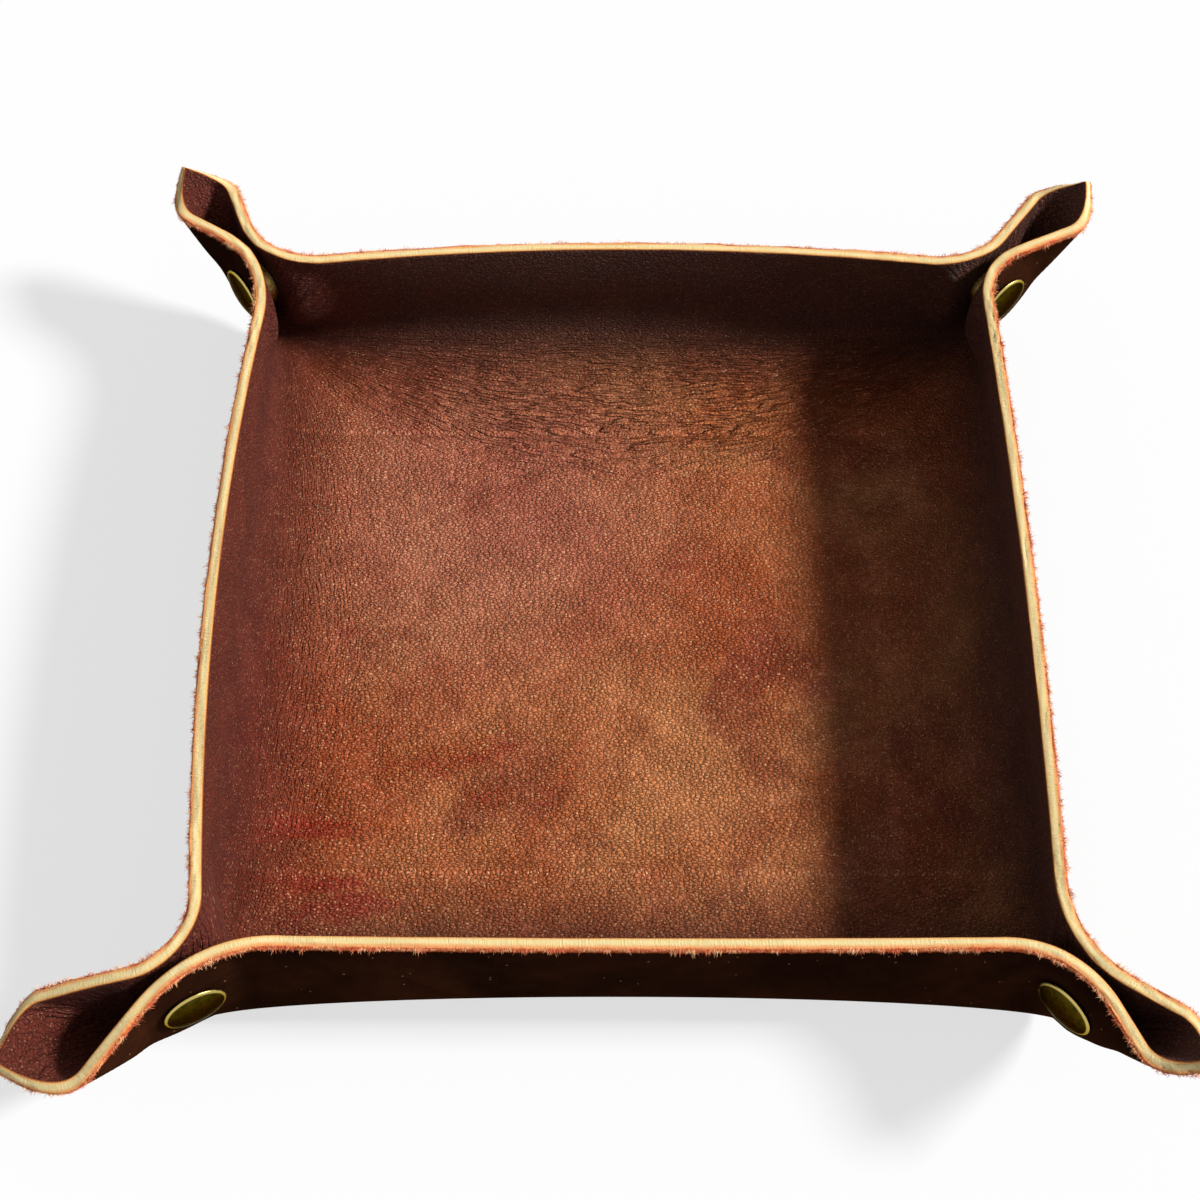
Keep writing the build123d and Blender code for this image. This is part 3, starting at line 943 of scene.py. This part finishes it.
class FleshFinish(Finish):
    """The outside of the tray: dark, dull, with loose specks and a bare ragged rim."""

    name = "leather_outside"
    dark_dye, light_dye = srgb(36, 18, 10), srgb(56, 29, 16)
    patch_tint = (0.4, srgb(26, 12, 7))
    rim_tint, rim_span, rim_ragged = (0.9, srgb(206, 104, 62)), (139.7, 140.5), 2.6
    dust_tint = (0.55, srgb(184, 140, 108))
    dust = {"Scale": 0.5, "Size": 0.11, "Share": 0.8}
    mottle_scale = 1.4
    specular, roughness = 0.0, 0.75
    nap_depth, nap_strength, nap_roughness = 0.0004, 0.7, 0.15

    def fill(self) -> None:
        """Set the shader's inputs."""
        tree = self.tree
        place = self.sheet_place()
        large, small = self.effect(GroupName.MOTTLE, Place=place, Scale=self.mottle_scale)
        nap = tree.noise(place, scale=1.6, detail=6.0, roughness=0.7)
        brown = tree.mix(large, self.dark_dye, self.light_dye)
        brown = tree.tint(brown, small, *self.patch_tint)
        x, y, _ = tree.parts(place)
        ragged = tree.noise(place, scale=0.9, detail=5.0, roughness=0.7)
        ragged = tree.scaled(ragged, self.rim_ragged, tree.larger(tree.size(x), tree.size(y)))
        brown = tree.tint(brown, tree.span(ragged, *self.rim_span), *self.rim_tint)
        dust = self.effect(GroupName.FLECKS, Place=place, **self.dust)[0]
        self.give(
            Base_Color=tree.tint(brown, dust, *self.dust_tint),
            Roughness=tree.scaled(nap, self.nap_roughness, self.roughness),
            Specular_IOR_Level=self.specular,
            Normal=self.bump(nap, self.nap_depth, self.nap_strength))


class EdgeFinish(Finish):
    """The cut edge: cream by the grain, pinkish and fuzzy by the flesh.

    Bands, the glow and the rim's line have spans, in shares of the way from the grain to the
    flesh. The glow and the line say first how far they waver. Pits are where the fibre is low;
    their darker tint is painted shade.
    """

    name = "leather_cut_edge"
    cream_dark, cream_light = srgb(255, 220, 142), srgb(255, 240, 188)
    flesh_bands = (((0.5, 0.86), srgb(252, 174, 104)), ((0.82, 1.04), srgb(216, 84, 44)))
    glow = (0.16, (0.02, 0.32), srgb(252, 172, 76))
    rim_line = (0.05, (0.02, 0.1), srgb(150, 66, 26))
    grain_share = 0.85
    pit_tint, pit_fade = (0.45, srgb(196, 120, 70)), (0.2, 0.42)
    specular, roughness = 0.25, 0.82
    fibre_stretch, fibre_waver, slow_waver = (2.6, 0.5, 1.0), 0.5, 0.3
    fibre_depth, fibre_strength = 0.0005, 0.9

    def fill(self) -> None:
        """Set the shader's inputs."""
        tree = self.tree
        along, across, _ = tree.parts(self.sheet_place())
        flat = tree.joined(along, tree.times(across, SheetForm.thickness * MM))
        combed = tree.mapped(flat, Scale=self.fibre_stretch)
        fibre = tree.noise(combed, scale=1.0, detail=6.0, roughness=0.72)
        slow = tree.noise(flat, scale=0.16, detail=4.0, roughness=0.6)
        share = tree.times(across, MM)
        ragged = self.wavering(share, fibre, self.fibre_waver)
        ragged = self.wavering(ragged, slow, self.slow_waver)
        cream = tree.mix(slow, self.cream_dark, self.cream_light)
        for span, colour in self.flesh_bands:
            cream = tree.mix(tree.span(ragged, *span), cream, colour)
        for amount, span, colour in (self.glow, self.rim_line):
            line = tree.fall(self.wavering(share, fibre, amount), *span)
            cream = tree.tint(cream, line, self.grain_share, colour)
        self.give(
            # Painted shade: a darker tint where the fibre bump is low.
            Base_Color=tree.tint(cream, tree.fall(fibre, *self.pit_fade), *self.pit_tint),
            Roughness=self.roughness,
            Specular_IOR_Level=self.specular,
            Normal=self.bump(fibre, self.fibre_depth, self.fibre_strength))

    def wavering(self, value: Socket, noise: Socket, amount: float) -> Socket:
        """A value that a noise moves up and down by half an amount."""
        return self.tree.maths("ADD", value, self.tree.scaled(noise, amount, -amount / 2))


class FibreFinish(Finish):
    """Loose fibres along the cut edge."""

    name = "leather_fibre"
    dark, light, light_fade = srgb(222, 112, 70), srgb(255, 204, 150), (0.35, 0.65)
    roughness = 0.85

    def fill(self) -> None:
        """Set the shader's inputs."""
        tint = self.tree.noise(self.object_place(), scale=0.4, detail=3.0)
        tint = self.tree.span(tint, *self.light_fade)
        self.give(Base_Color=self.tree.mix(tint, self.dark, self.light), Roughness=self.roughness)


@dataclass(frozen=True)
class MetalTone:
    """Colours and gloss of one metal."""

    name: str
    light: Colour
    dark: Colour
    rubbed: Colour
    glance: Colour
    roughness: float


AGED_BRASS = MetalTone("aged_brass", srgb(74, 64, 24), srgb(50, 44, 18), srgb(214, 190, 112),
                       srgb(150, 136, 84), 0.26)
PLATED_BRASS = MetalTone("plated_brass", srgb(150, 124, 70), srgb(112, 92, 50),
                         srgb(206, 176, 110), srgb(230, 214, 170), 0.26)
SPRING_STEEL = MetalTone("spring_steel", srgb(170, 170, 166), srgb(120, 120, 118),
                         srgb(200, 200, 196), srgb(240, 240, 238), 0.3)


class MetalFinish(Finish):
    """Handled metal with a patina, fine scratches and dull spots."""

    scratch_share = 0.35
    spot_roughness = 0.16
    scratch_depth, scratch_strength = 0.00004, 0.35

    def __init__(self, effects: Effects, tone: MetalTone) -> None:
        """Build the material.

        Args:
            effects: the shared effects.
            tone: the metal's colours and gloss.
        """
        self.name = tone.name
        self.tone = tone
        super().__init__(effects)

    def fill(self) -> None:
        """Set the shader's inputs."""
        tree, tone = self.tree, self.tone
        lines, spots = self.effect(GroupName.SCRATCHES, Place=self.object_place())
        metal = tree.mix(spots, tone.light, tone.dark)
        metal = tree.tint(metal, lines, self.scratch_share, tone.light)
        rub = tree.add("ShaderNodeAttribute", {"attribute_name": "rub"}).outputs["Fac"]
        self.give(
            Base_Color=tree.mix(rub, metal, tone.rubbed),
            Metallic=1.0,
            Specular_Tint=tone.glance,
            Roughness=tree.scaled(spots, self.spot_roughness, tone.roughness),
            Normal=self.bump(lines, self.scratch_depth, self.scratch_strength))


# Pieces


def placed(name: str, data: bpy.types.ID) -> Piece:
    """Make an object of its data and link it to the scene."""
    piece = bpy.data.objects.new(name, data)
    bpy.context.scene.collection.objects.link(piece)
    return piece


def mesh_piece(name: str, points: Grid, faces: list = (), edges: list = ()) -> Piece:
    """Make an object of a mesh given in metres.

    Args:
        name: the piece's name.
        points: its points.
        faces, edges: its faces and loose edges, as point numbers.

    Returns:
        The object, linked to the scene.
    """
    mesh = bpy.data.meshes.new(name)
    mesh.from_pydata([tuple(point) for point in points], edges, faces)
    mesh.update()
    return placed(name, mesh)


@dataclass
class LeatherSheet:
    """The whole tray body: one closed skin with grain, flesh and cut edge.

    Edge rows are (height from flesh to grain as -1 to 1, how far it stands out in millimetres).
    """

    form: SheetForm
    coarse_cells: int = 24
    fine_cells: int = 80
    coarse_reach: float = 66.0
    edge_rows: tuple[Span, ...] = (
        (0.93, 0.16), (0.72, 0.27), (0.35, 0.33), (-0.05, 0.35), (-0.45, 0.33), (-0.78, 0.24),
        (-0.95, 0.12))
    edge_noise: float = 0.3
    grain_noise: float = 0.35
    rim_fade: float = 5.0
    fibre_root: float = 0.92
    fibre_down: float = 0.8
    fibre_in: float = 0.25
    seed: int = 7

    def lines(self) -> Grid:
        """Places of the grid's lines across the sheet, finer towards the rim."""
        inner = np.linspace(0, self.coarse_reach, self.coarse_cells + 1)
        outer = np.linspace(self.coarse_reach, self.form.half_side, self.fine_cells + 1)
        half = np.concatenate([inner, outer[1:]])
        return np.concatenate([-half[:0:-1], half])

    @staticmethod
    def rim_order(last: int) -> tuple[Grid, Grid]:
        """Grid lines u and v once round the rim, seen from above against the clock."""
        up, low, high = np.arange(last), np.zeros(last, int), np.full(last, last)
        return (np.concatenate([up, high, last - up, low]),
                np.concatenate([low, up, high, last - up]))

    def build(self, finishes: list[Finish]) -> tuple[Piece, Grid]:
        """Build the skin.

        Args:
            finishes: the grain's, the flesh's and the cut edge's.

        Returns:
            The piece, and the rim's lower edge as points in metres with their outward directions.
        """
        lines = self.lines()
        count = len(lines)
        u, v = np.meshgrid(lines, lines, indexing="ij")
        middle, normal, along_u, along_v = self.form.skin(u, v)
        dips = Wrinkles(self.form.fold_line).depth(u, v)
        dips *= ramp(np.maximum(abs(u), abs(v)), self.form.half_side, -self.rim_fade)
        thick = self.form.squeeze(u, v) - dips / self.form.half_thickness
        upper, under = middle + normal * thick[..., None], middle - normal
        at = self.rim_order(count - 1)
        outs = [np.sign(2 * k - count + 1) * ((k == 0) | (k == count - 1)) for k in at]
        rim_middle, rim_normal = middle[at], normal[at]
        outward = unit(outs[0][:, None] * along_u[at] + outs[1][:, None] * along_v[at])
        rows = self.rough_rows(rim_middle, rim_normal, outward)
        points = np.concatenate([upper.reshape(-1, 3), under.reshape(-1, 3), *rows]) * MM
        faces, slots, coords = self.face_lists(count, at[0] * count + at[1], lines, rim_middle)
        piece = mesh_piece("tray_leather", points, faces.tolist())
        for finish in finishes:
            piece.data.materials.append(finish.material)
        piece.data.polygons.foreach_set("material_index", slots)
        piece.data.polygons.foreach_set("use_smooth", [True] * len(faces))
        layer = piece.data.uv_layers.new(name="sheet")
        layer.data.foreach_set("uv", coords.astype(np.float32))
        away = -rim_normal / self.form.half_thickness
        lower = (rim_middle - rim_normal * self.fibre_root) * MM
        lean = away * self.fibre_down - outward * self.fibre_in
        return piece, np.concatenate([lower, lean], axis=1)

    def rough_rows(self, middle: Grid, normal: Grid, outward: Grid) -> list[Grid]:
        """Rows of points down the cut edge, rougher towards the flesh.

        Args:
            middle: the rim's middle points.
            normal: the half thickness there, towards the grain.
            outward: unit directions out of the sheet.

        Returns:
            The rows' points, in millimetres.
        """
        chance = np.random.default_rng(self.seed)
        rows = []
        for share, proud in self.edge_rows:
            rough = chance.normal(0, 1, len(middle))
            rough = (rough + np.roll(rough, 1) + np.roll(rough, -1)) / 3
            fuzz = self.grain_noise + (1 - self.grain_noise) * (1 - share) / 2
            push = proud + rough * self.edge_noise * fuzz
            rows.append(middle + normal * share + outward * push[:, None])
        return rows

    def face_lists(self, count: int, rim: Grid, lines: Grid,
                   rim_middle: Grid) -> tuple[Grid, Grid, Grid]:
        """List the skin's faces with their finishes and sheet places.

        Args:
            count: the grid's lines each way.
            rim: point numbers round the rim of the grid.
            lines: places of the grid's lines.
            rim_middle: the rim's middle points.

        Returns:
            Faces, material numbers, and a sheet place for each face corner.
        """
        total = count * count
        number = np.arange(total).reshape(count, count)
        quads = np.stack([number[:-1, :-1], number[1:, :-1], number[1:, 1:], number[:-1, 1:]], -1)
        quads = quads.reshape(-1, 1, 4)
        flat = np.concatenate([quads, quads[..., ::-1]], axis=1)
        metre = lines * MM
        places = np.stack([metre[flat // count], metre[flat % count]], -1)
        steps = np.linalg.norm(np.diff(rim_middle, axis=0, append=rim_middle[:1]), axis=1)
        length = np.concatenate([[0], np.cumsum(steps)]) * MM
        shares = np.array([0.0] + [(1 - share) / 2 for share, proud in self.edge_rows] + [1.0])
        middle = np.arange(2 * total, 2 * total + len(self.edge_rows) * len(rim))
        heads = np.concatenate([[rim], middle.reshape(-1, len(rim)), [rim + total]])
        after = np.roll(heads, -1, axis=1)
        edge = np.stack([heads[:-1], heads[1:], after[1:], after[:-1]], -1).reshape(-1, 4)
        row, k = (part.ravel() for part in np.indices((len(heads) - 1, len(rim))))
        along = length[np.stack([k, k, k + 1, k + 1], -1)]
        down = shares[np.stack([row, row + 1, row + 1, row], -1)]
        faces = np.concatenate([(flat + [[0], [total]]).reshape(-1, 4), edge])
        slots = np.concatenate([np.tile([0, 1], len(quads)), np.full(len(edge), 2)])
        coords = np.concatenate([places.ravel(), np.stack([along, down], -1).ravel()])
        return faces, slots, coords


@dataclass
class SnapMetal:
    """The visible metal of the snaps: domed caps outside, eyelet posts on the mating walls."""

    form: SheetForm
    segments: int = 72
    dome_rings: int = 8
    roll_rings: int = 9
    flange_rings: int = 7
    mouth_rings: int = 5
    roll_start: float = 0.35
    rub: float = 0.8
    rub_width: float = 0.93
    rub_depth: float = 0.25
    sharp_angle: float = 50.0
    merge_reach: float = 1e-7

    def turned(self, name: str, seat: SnapFrame, outline: Outline,
               finish: Finish) -> Piece:
        """Turn an outline about the snap's axis.

        Args:
            name: the piece's name.
            seat: where the snap sits.
            outline: (radius, height) points in millimetres, closed back to the first.
            finish: the metal.

        Returns:
            The piece.
        """
        count, rows = self.segments, len(outline)
        across = np.cross(seat.cap_side, seat.along)
        turns = np.linspace(0, 2 * pi, count, endpoint=False)
        circle = np.cos(turns)[:, None] * seat.along + np.sin(turns)[:, None] * across
        widest = max(radius for radius, height in outline)
        proud = max(abs(height) for radius, height in outline)
        points, rub, faces = [], [], []
        for row, (radius, height) in enumerate(outline):
            edge = radius > widest * self.rub_width and abs(height) < proud - self.rub_depth
            rub += [self.rub if edge else 0.0] * count
            points.append(seat.centre + seat.cap_side * height + radius * circle)
            below = (row + 1) % rows
            for k in range(count):
                after = (k + 1) % count
                faces.append((row * count + k, row * count + after, below * count + after,
                              below * count + k))
        piece = mesh_piece(name, np.concatenate(points) * MM, faces)
        mesh = piece.data
        mesh.attributes.new("rub", "FLOAT", "POINT").data.foreach_set("value", rub)
        work = bmesh.new()
        work.from_mesh(mesh)
        bmesh.ops.remove_doubles(work, verts=work.verts, dist=self.merge_reach)
        bmesh.ops.recalc_face_normals(work, faces=work.faces)
        work.to_mesh(mesh)
        work.free()
        mesh.polygons.foreach_set("use_smooth", [True] * len(mesh.polygons))
        mesh.materials.append(finish.material)
        mesh.set_sharp_from_angle(angle=radians(self.sharp_angle))
        return piece

    def seat(self) -> float:
        """How far the faces that the metal sits on are from the snap's middle."""
        return self.form.snap.gap / 2 + self.form.thickness + 2 * self.form.snap.seat_clearance

    def cap_outline(self) -> Outline:
        """A low dome whose edge is rolled under, with its shank."""
        size, rings, seat = self.form.snap, self.dome_rings, self.seat()
        top = seat + size.cap_edge + size.cap_crown
        inner, low = size.cap_radius - size.cap_roll, seat + size.cap_lift
        half_roll = (size.cap_edge - 2 * size.cap_lift) / 2
        dome = [(inner * k / rings, top - size.cap_crown * (k / rings) ** size.crown_power)
                for k in range(rings + 1)]
        roll = [(inner + size.cap_roll * sin(a), low + half_roll * (1 + cos(a)))
                for a in np.linspace(self.roll_start, pi, self.roll_rings)]
        shank, bore = size.shank_radius, size.shank_radius - size.shank_wall
        flare, wide = size.gap / 2 - size.flare_depth, shank + size.flare_width
        end, roof = flare - size.flare_height, top - size.cap_wall
        return dome + roll + [(shank, low), (shank, flare), (wide, flare), (wide, end),
                              (bore, end), (bore, roof), (0.0, roof)]

    def post_outline(self) -> Outline:
        """An eyelet post: a rolled flange and a tube, open in the middle."""
        size, seat = self.form.snap, -self.seat()
        back = seat - size.post_flange
        shank, bore = size.shank_radius, size.shank_radius - size.shank_wall
        clench, wide = -size.gap / 2 + size.clench_depth, shank + size.clench_width
        end = clench + size.clench_height
        roll, mouth_roll = size.post_roll, size.mouth_roll
        rim = [(size.post_radius - roll + roll * sin(a), seat - roll - roll * cos(a))
               for a in np.linspace(0, pi, self.flange_rings)]
        mouth = [(bore + mouth_roll - mouth_roll * sin(a), back + mouth_roll - mouth_roll * cos(a))
                 for a in np.linspace(0, pi / 2, self.mouth_rings)]
        dish = (size.post_radius - size.dish_margin, back + size.dish_depth)
        return rim + [(shank, seat), (shank, clench), (wide, clench), (wide, end),
                      (bore, end)] + mouth[::-1] + [dish]

    def build(self, aged: Finish, plated: Finish) -> list[Piece]:
        """Build the caps and the posts, each in place of its node.

        Args:
            aged: the caps' metal.
            plated: the posts' metal.

        Returns:
            The pieces.
        """
        pieces = []
        for corner in CORNERS:
            seat = self.form.frames[(corner.side_x, corner.side_y)]
            for part, outline, metal in (("cap", self.cap_outline(), aged),
                                         ("post", self.post_outline(), plated)):
                piece = self.turned(f"{corner.name}_{part}_turned", seat, outline, metal)
                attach(piece, "root")
                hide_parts(f"{corner.name}_{part}")
                pieces.append(piece)
        return pieces


@dataclass
class EdgeFibres:
    """Short loose fibres that stand out of the cut edge's flesh side, in millimetres."""

    per_millimetre: float = 15.0
    shortest: float = 0.4
    longest: float = 1.5
    width: float = 0.1
    spread: float = 0.75
    scatter: float = 0.3
    clump_scale: float = 420.0
    clump_span: tuple[float, ...] = (0.42, 0.66, 0.3, 1.35)
    seed: int = 11

    def build(self, edge: Grid, finish: Finish) -> Piece:
        """Set the fibres with geometry nodes.

        Args:
            edge: points of the edge's lower line in metres, with their outward directions.
            finish: the fibres' own.

        Returns:
            The piece, as a plain mesh.
        """
        carrier = self.carrier(edge)
        length = float(np.linalg.norm(np.diff(edge[:, :3], axis=0), axis=1).sum()) / MM
        modifier = carrier.modifiers.new("fibres", "NODES")
        modifier.node_group = self.make_tree(finish)
        values = {"Count": int(length * self.per_millimetre), "Shortest": self.shortest * MM,
                  "Longest": self.longest * MM, "Width": self.width * MM}
        for item in modifier.node_group.interface.items_tree:
            if item.name in values:
                modifier[item.identifier] = values[item.name]
        bpy.context.view_layer.update()
        evaluated = carrier.evaluated_get(bpy.context.evaluated_depsgraph_get())
        mesh = bpy.data.meshes.new_from_object(evaluated)
        bpy.data.objects.remove(carrier)
        return placed("edge_fibres", mesh)

    @staticmethod
    def carrier(edge: Grid) -> Piece:
        """A closed line of mesh edges along the rim that knows its outward directions."""
        count = len(edge)
        ring = [(k, (k + 1) % count) for k in range(count)]
        carrier = mesh_piece("edge_line", edge[:, :3], edges=ring)
        direction = carrier.data.attributes.new("outward", "FLOAT_VECTOR", "POINT")
        direction.data.foreach_set("vector", edge[:, 3:].astype(np.float32).ravel())
        return carrier

    def make_tree(self, finish: Finish) -> Nodes:
        """Build the geometry node tree.

        Args:
            finish: the fibres' own.

        Returns:
            The tree, with named inputs for the count and the sizes.
        """
        group = bpy.data.node_groups.new("edge fibres", "GeometryNodeTree")
        for label, way, kind in (
                ("Geometry", "INPUT", "Geometry"), ("Count", "INPUT", "Int"),
                ("Shortest", "INPUT", "Float"), ("Longest", "INPUT", "Float"),
                ("Width", "INPUT", "Float"), ("Geometry", "OUTPUT", "Geometry")):
            group.interface.new_socket(name=label, in_out=way, socket_type=f"NodeSocket{kind}")
        tree = Tree(group)
        line, count, shortest, longest, width = list(tree.add("NodeGroupInput").outputs)[:5]
        curve = tree.first("GeometryNodeMeshToCurve", i0=line)
        dense = tree.first("GeometryNodeResampleCurve", Curve=curve, Count=count)
        points = tree.first("GeometryNodeCurveToPoints", {"mode": "EVALUATED"}, Curve=dense)
        outward = tree.first(
            "GeometryNodeInputNamedAttribute", {"data_type": "FLOAT_VECTOR"}, Name="outward")
        lean = tree.vector("ADD", outward, self.random_vector(tree, self.spread, self.seed))
        turn = tree.first("FunctionNodeAlignRotationToVector", {"axis": "Z"}, Vector=lean)
        size = tree.add("FunctionNodeRandomValue", {"data_type": "FLOAT"}, i2=shortest,
                        i3=longest, Seed=self.seed + 1).outputs[1]
        clump = tree.first("ShaderNodeTexNoise", Scale=self.clump_scale, Detail=2.0)
        long_way = tree.times(size, tree.span(clump, *self.clump_span))
        cone = tree.first("GeometryNodeMeshCone", {"fill_type": "NONE"}, Vertices=3, i3=0.0,
                          i4=1.0, Depth=1.0)
        shift = self.random_vector(tree, self.scatter * MM, self.seed + 2)
        moved = tree.first("GeometryNodeSetPosition", Geometry=points, Offset=shift)
        many = tree.first("GeometryNodeInstanceOnPoints", Points=moved, Instance=cone,
                          Rotation=turn, Scale=tree.joined(width, width, long_way))
        real = tree.first("GeometryNodeRealizeInstances", i0=many)
        coloured = tree.first("GeometryNodeSetMaterial", i0=real, Material=finish.material)
        tree.add("NodeGroupOutput", i0=coloured)
        return group

    @staticmethod
    def random_vector(tree: Tree, reach: float, seed: int) -> Socket:
        """Random vectors whose parts lie within a reach of 0."""
        return tree.first("FunctionNodeRandomValue", {"data_type": "FLOAT_VECTOR"},
                          i0=(-reach,) * 3, i1=(reach,) * 3, Seed=seed)


# Studio


@dataclass
class Studio:
    """Camera, floor, key light and surround. Places in metres, angles in degrees."""

    camera_place: Point = (-0.00667, -0.2515, 0.4548)
    camera_turn: Point = (30.23, 0.0, 0.15)
    lens: float = 58.70
    sensor_width: float = 36.0
    clip_start: float = 0.01
    key_strength: float = 4.9
    key_angle: float = 10.0
    key_azimuth: float = 6.0
    key_elevation: float = 34.0
    surround: float = 0.17
    shadow_share: float = 0.3
    floor_reach: float = 6.0
    floor_colour: Colour = (0.93, 0.93, 0.93, 1.0)
    floor_roughness: float = 0.9
    floor_specular: float = 0.1

    def build(self) -> None:
        """Build the studio."""
        self.camera()
        self.floor()
        self.key()
        self.world()

    def camera(self) -> None:
        """Create the camera at the photograph's viewing angle."""
        data = bpy.data.cameras.new("camera")
        data.lens = self.lens
        data.sensor_width = self.sensor_width
        data.clip_start = self.clip_start
        camera = placed("camera", data)
        camera.location = self.camera_place
        camera.rotation_euler = [radians(angle) for angle in self.camera_turn]
        bpy.context.scene.camera = camera

    def floor(self) -> None:
        """Lay a pale floor that keeps the tray's shadow."""
        corners = [(-1, -1, 0), (1, -1, 0), (1, 1, 0), (-1, 1, 0)]
        floor = mesh_piece("floor", np.array(corners) * self.floor_reach, [(0, 1, 2, 3)])
        material = bpy.data.materials.new("pale_floor")
        material.use_nodes = True
        tree = Tree(material.node_tree)
        shader = tree.first(
            "ShaderNodeBsdfPrincipled", Base_Color=self.floor_colour,
            Roughness=self.floor_roughness, Specular_IOR_Level=self.floor_specular)
        white = tree.first("ShaderNodeEmission", Color=WHITE, Strength=1.0)
        share = tree.times(self.seen(tree), 1 - self.shadow_share)
        mixed = tree.first("ShaderNodeMixShader", i0=share, i1=shader, i2=white)
        tree.add("ShaderNodeOutputMaterial", i0=mixed)
        floor.data.materials.append(material)

    @staticmethod
    def seen(tree: Tree) -> Socket:
        """1 for a camera, mirrored or passed ray, else 0."""
        path = tree.add("ShaderNodeLightPath").outputs
        mirrored = tree.larger(path["Is Glossy Ray"], path["Is Transmission Ray"])
        return tree.larger(path["Is Camera Ray"], mirrored)

    def key(self) -> None:
        """Hang the soft key light, low on the right."""
        data = bpy.data.lights.new("key", "SUN")
        data.energy = self.key_strength
        data.angle = radians(self.key_angle)
        azimuth, elevation = radians(self.key_azimuth), radians(self.key_elevation)
        toward = Vector((cos(azimuth) * cos(elevation), sin(azimuth) * cos(elevation),
                         sin(elevation)))
        placed("key", data).rotation_euler = toward.to_track_quat("Z", "Y").to_euler()

    def world(self) -> None:
        """Set an even surround that the camera sees as white."""
        world = bpy.data.worlds.new("surround")
        bpy.context.scene.world = world
        world.use_nodes = True
        tree = Tree(world.node_tree)
        seen = tree.first("ShaderNodeBackground", Color=WHITE, Strength=1.0)
        lit = tree.first("ShaderNodeBackground", Color=WHITE, Strength=self.surround)
        mixed = tree.first("ShaderNodeMixShader", i0=self.seen(tree), i1=lit, i2=seen)
        tree.add("ShaderNodeOutputWorld", i0=mixed)


class Tray:
    """The dressed tray."""

    def __init__(self) -> None:
        """Prepare the form and the finishes."""
        self.form = SheetForm()
        effects = Effects()
        self.leather = [GrainFinish(effects), FleshFinish(effects), EdgeFinish(effects)]
        self.fibre = FibreFinish(effects)
        self.aged_brass = MetalFinish(effects, AGED_BRASS)
        self.plated = MetalFinish(effects, PLATED_BRASS)
        self.steel = MetalFinish(effects, SPRING_STEEL)

    def build(self) -> None:
        """Build every piece and dress the nodes that stay."""
        leather, edge = LeatherSheet(self.form).build(self.leather)
        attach(leather, "root")
        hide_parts("leather_sheet")
        log.info("leather: %d faces", len(leather.data.polygons))
        fibres = EdgeFibres().build(edge, self.fibre)
        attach(fibres, "root")
        log.info("edge fibres: %d faces", len(fibres.data.polygons))
        for piece in SnapMetal(self.form).build(self.aged_brass, self.plated):
            log.info("%s: %d faces", piece.name, len(piece.data.polygons))
        self.dress_nodes()

    def dress_nodes(self) -> None:
        """Give the hidden snap parts their metals."""
        metals = {"_socket": self.plated, "_stud": self.plated, "_spring": self.steel}
        for name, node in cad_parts.items():
            for ending, finish in metals.items():
                if name.endswith(ending):
                    for slot in node.material_slots:
                        slot.material = finish.material
                    log.info("%s: dressed", name)


def main() -> None:
    """Build the studio and the tray."""
    bpy.context.scene.view_settings.view_transform = "Standard"
    Studio().build()
    Tray().build()


if __name__ == "__main__":
    main()
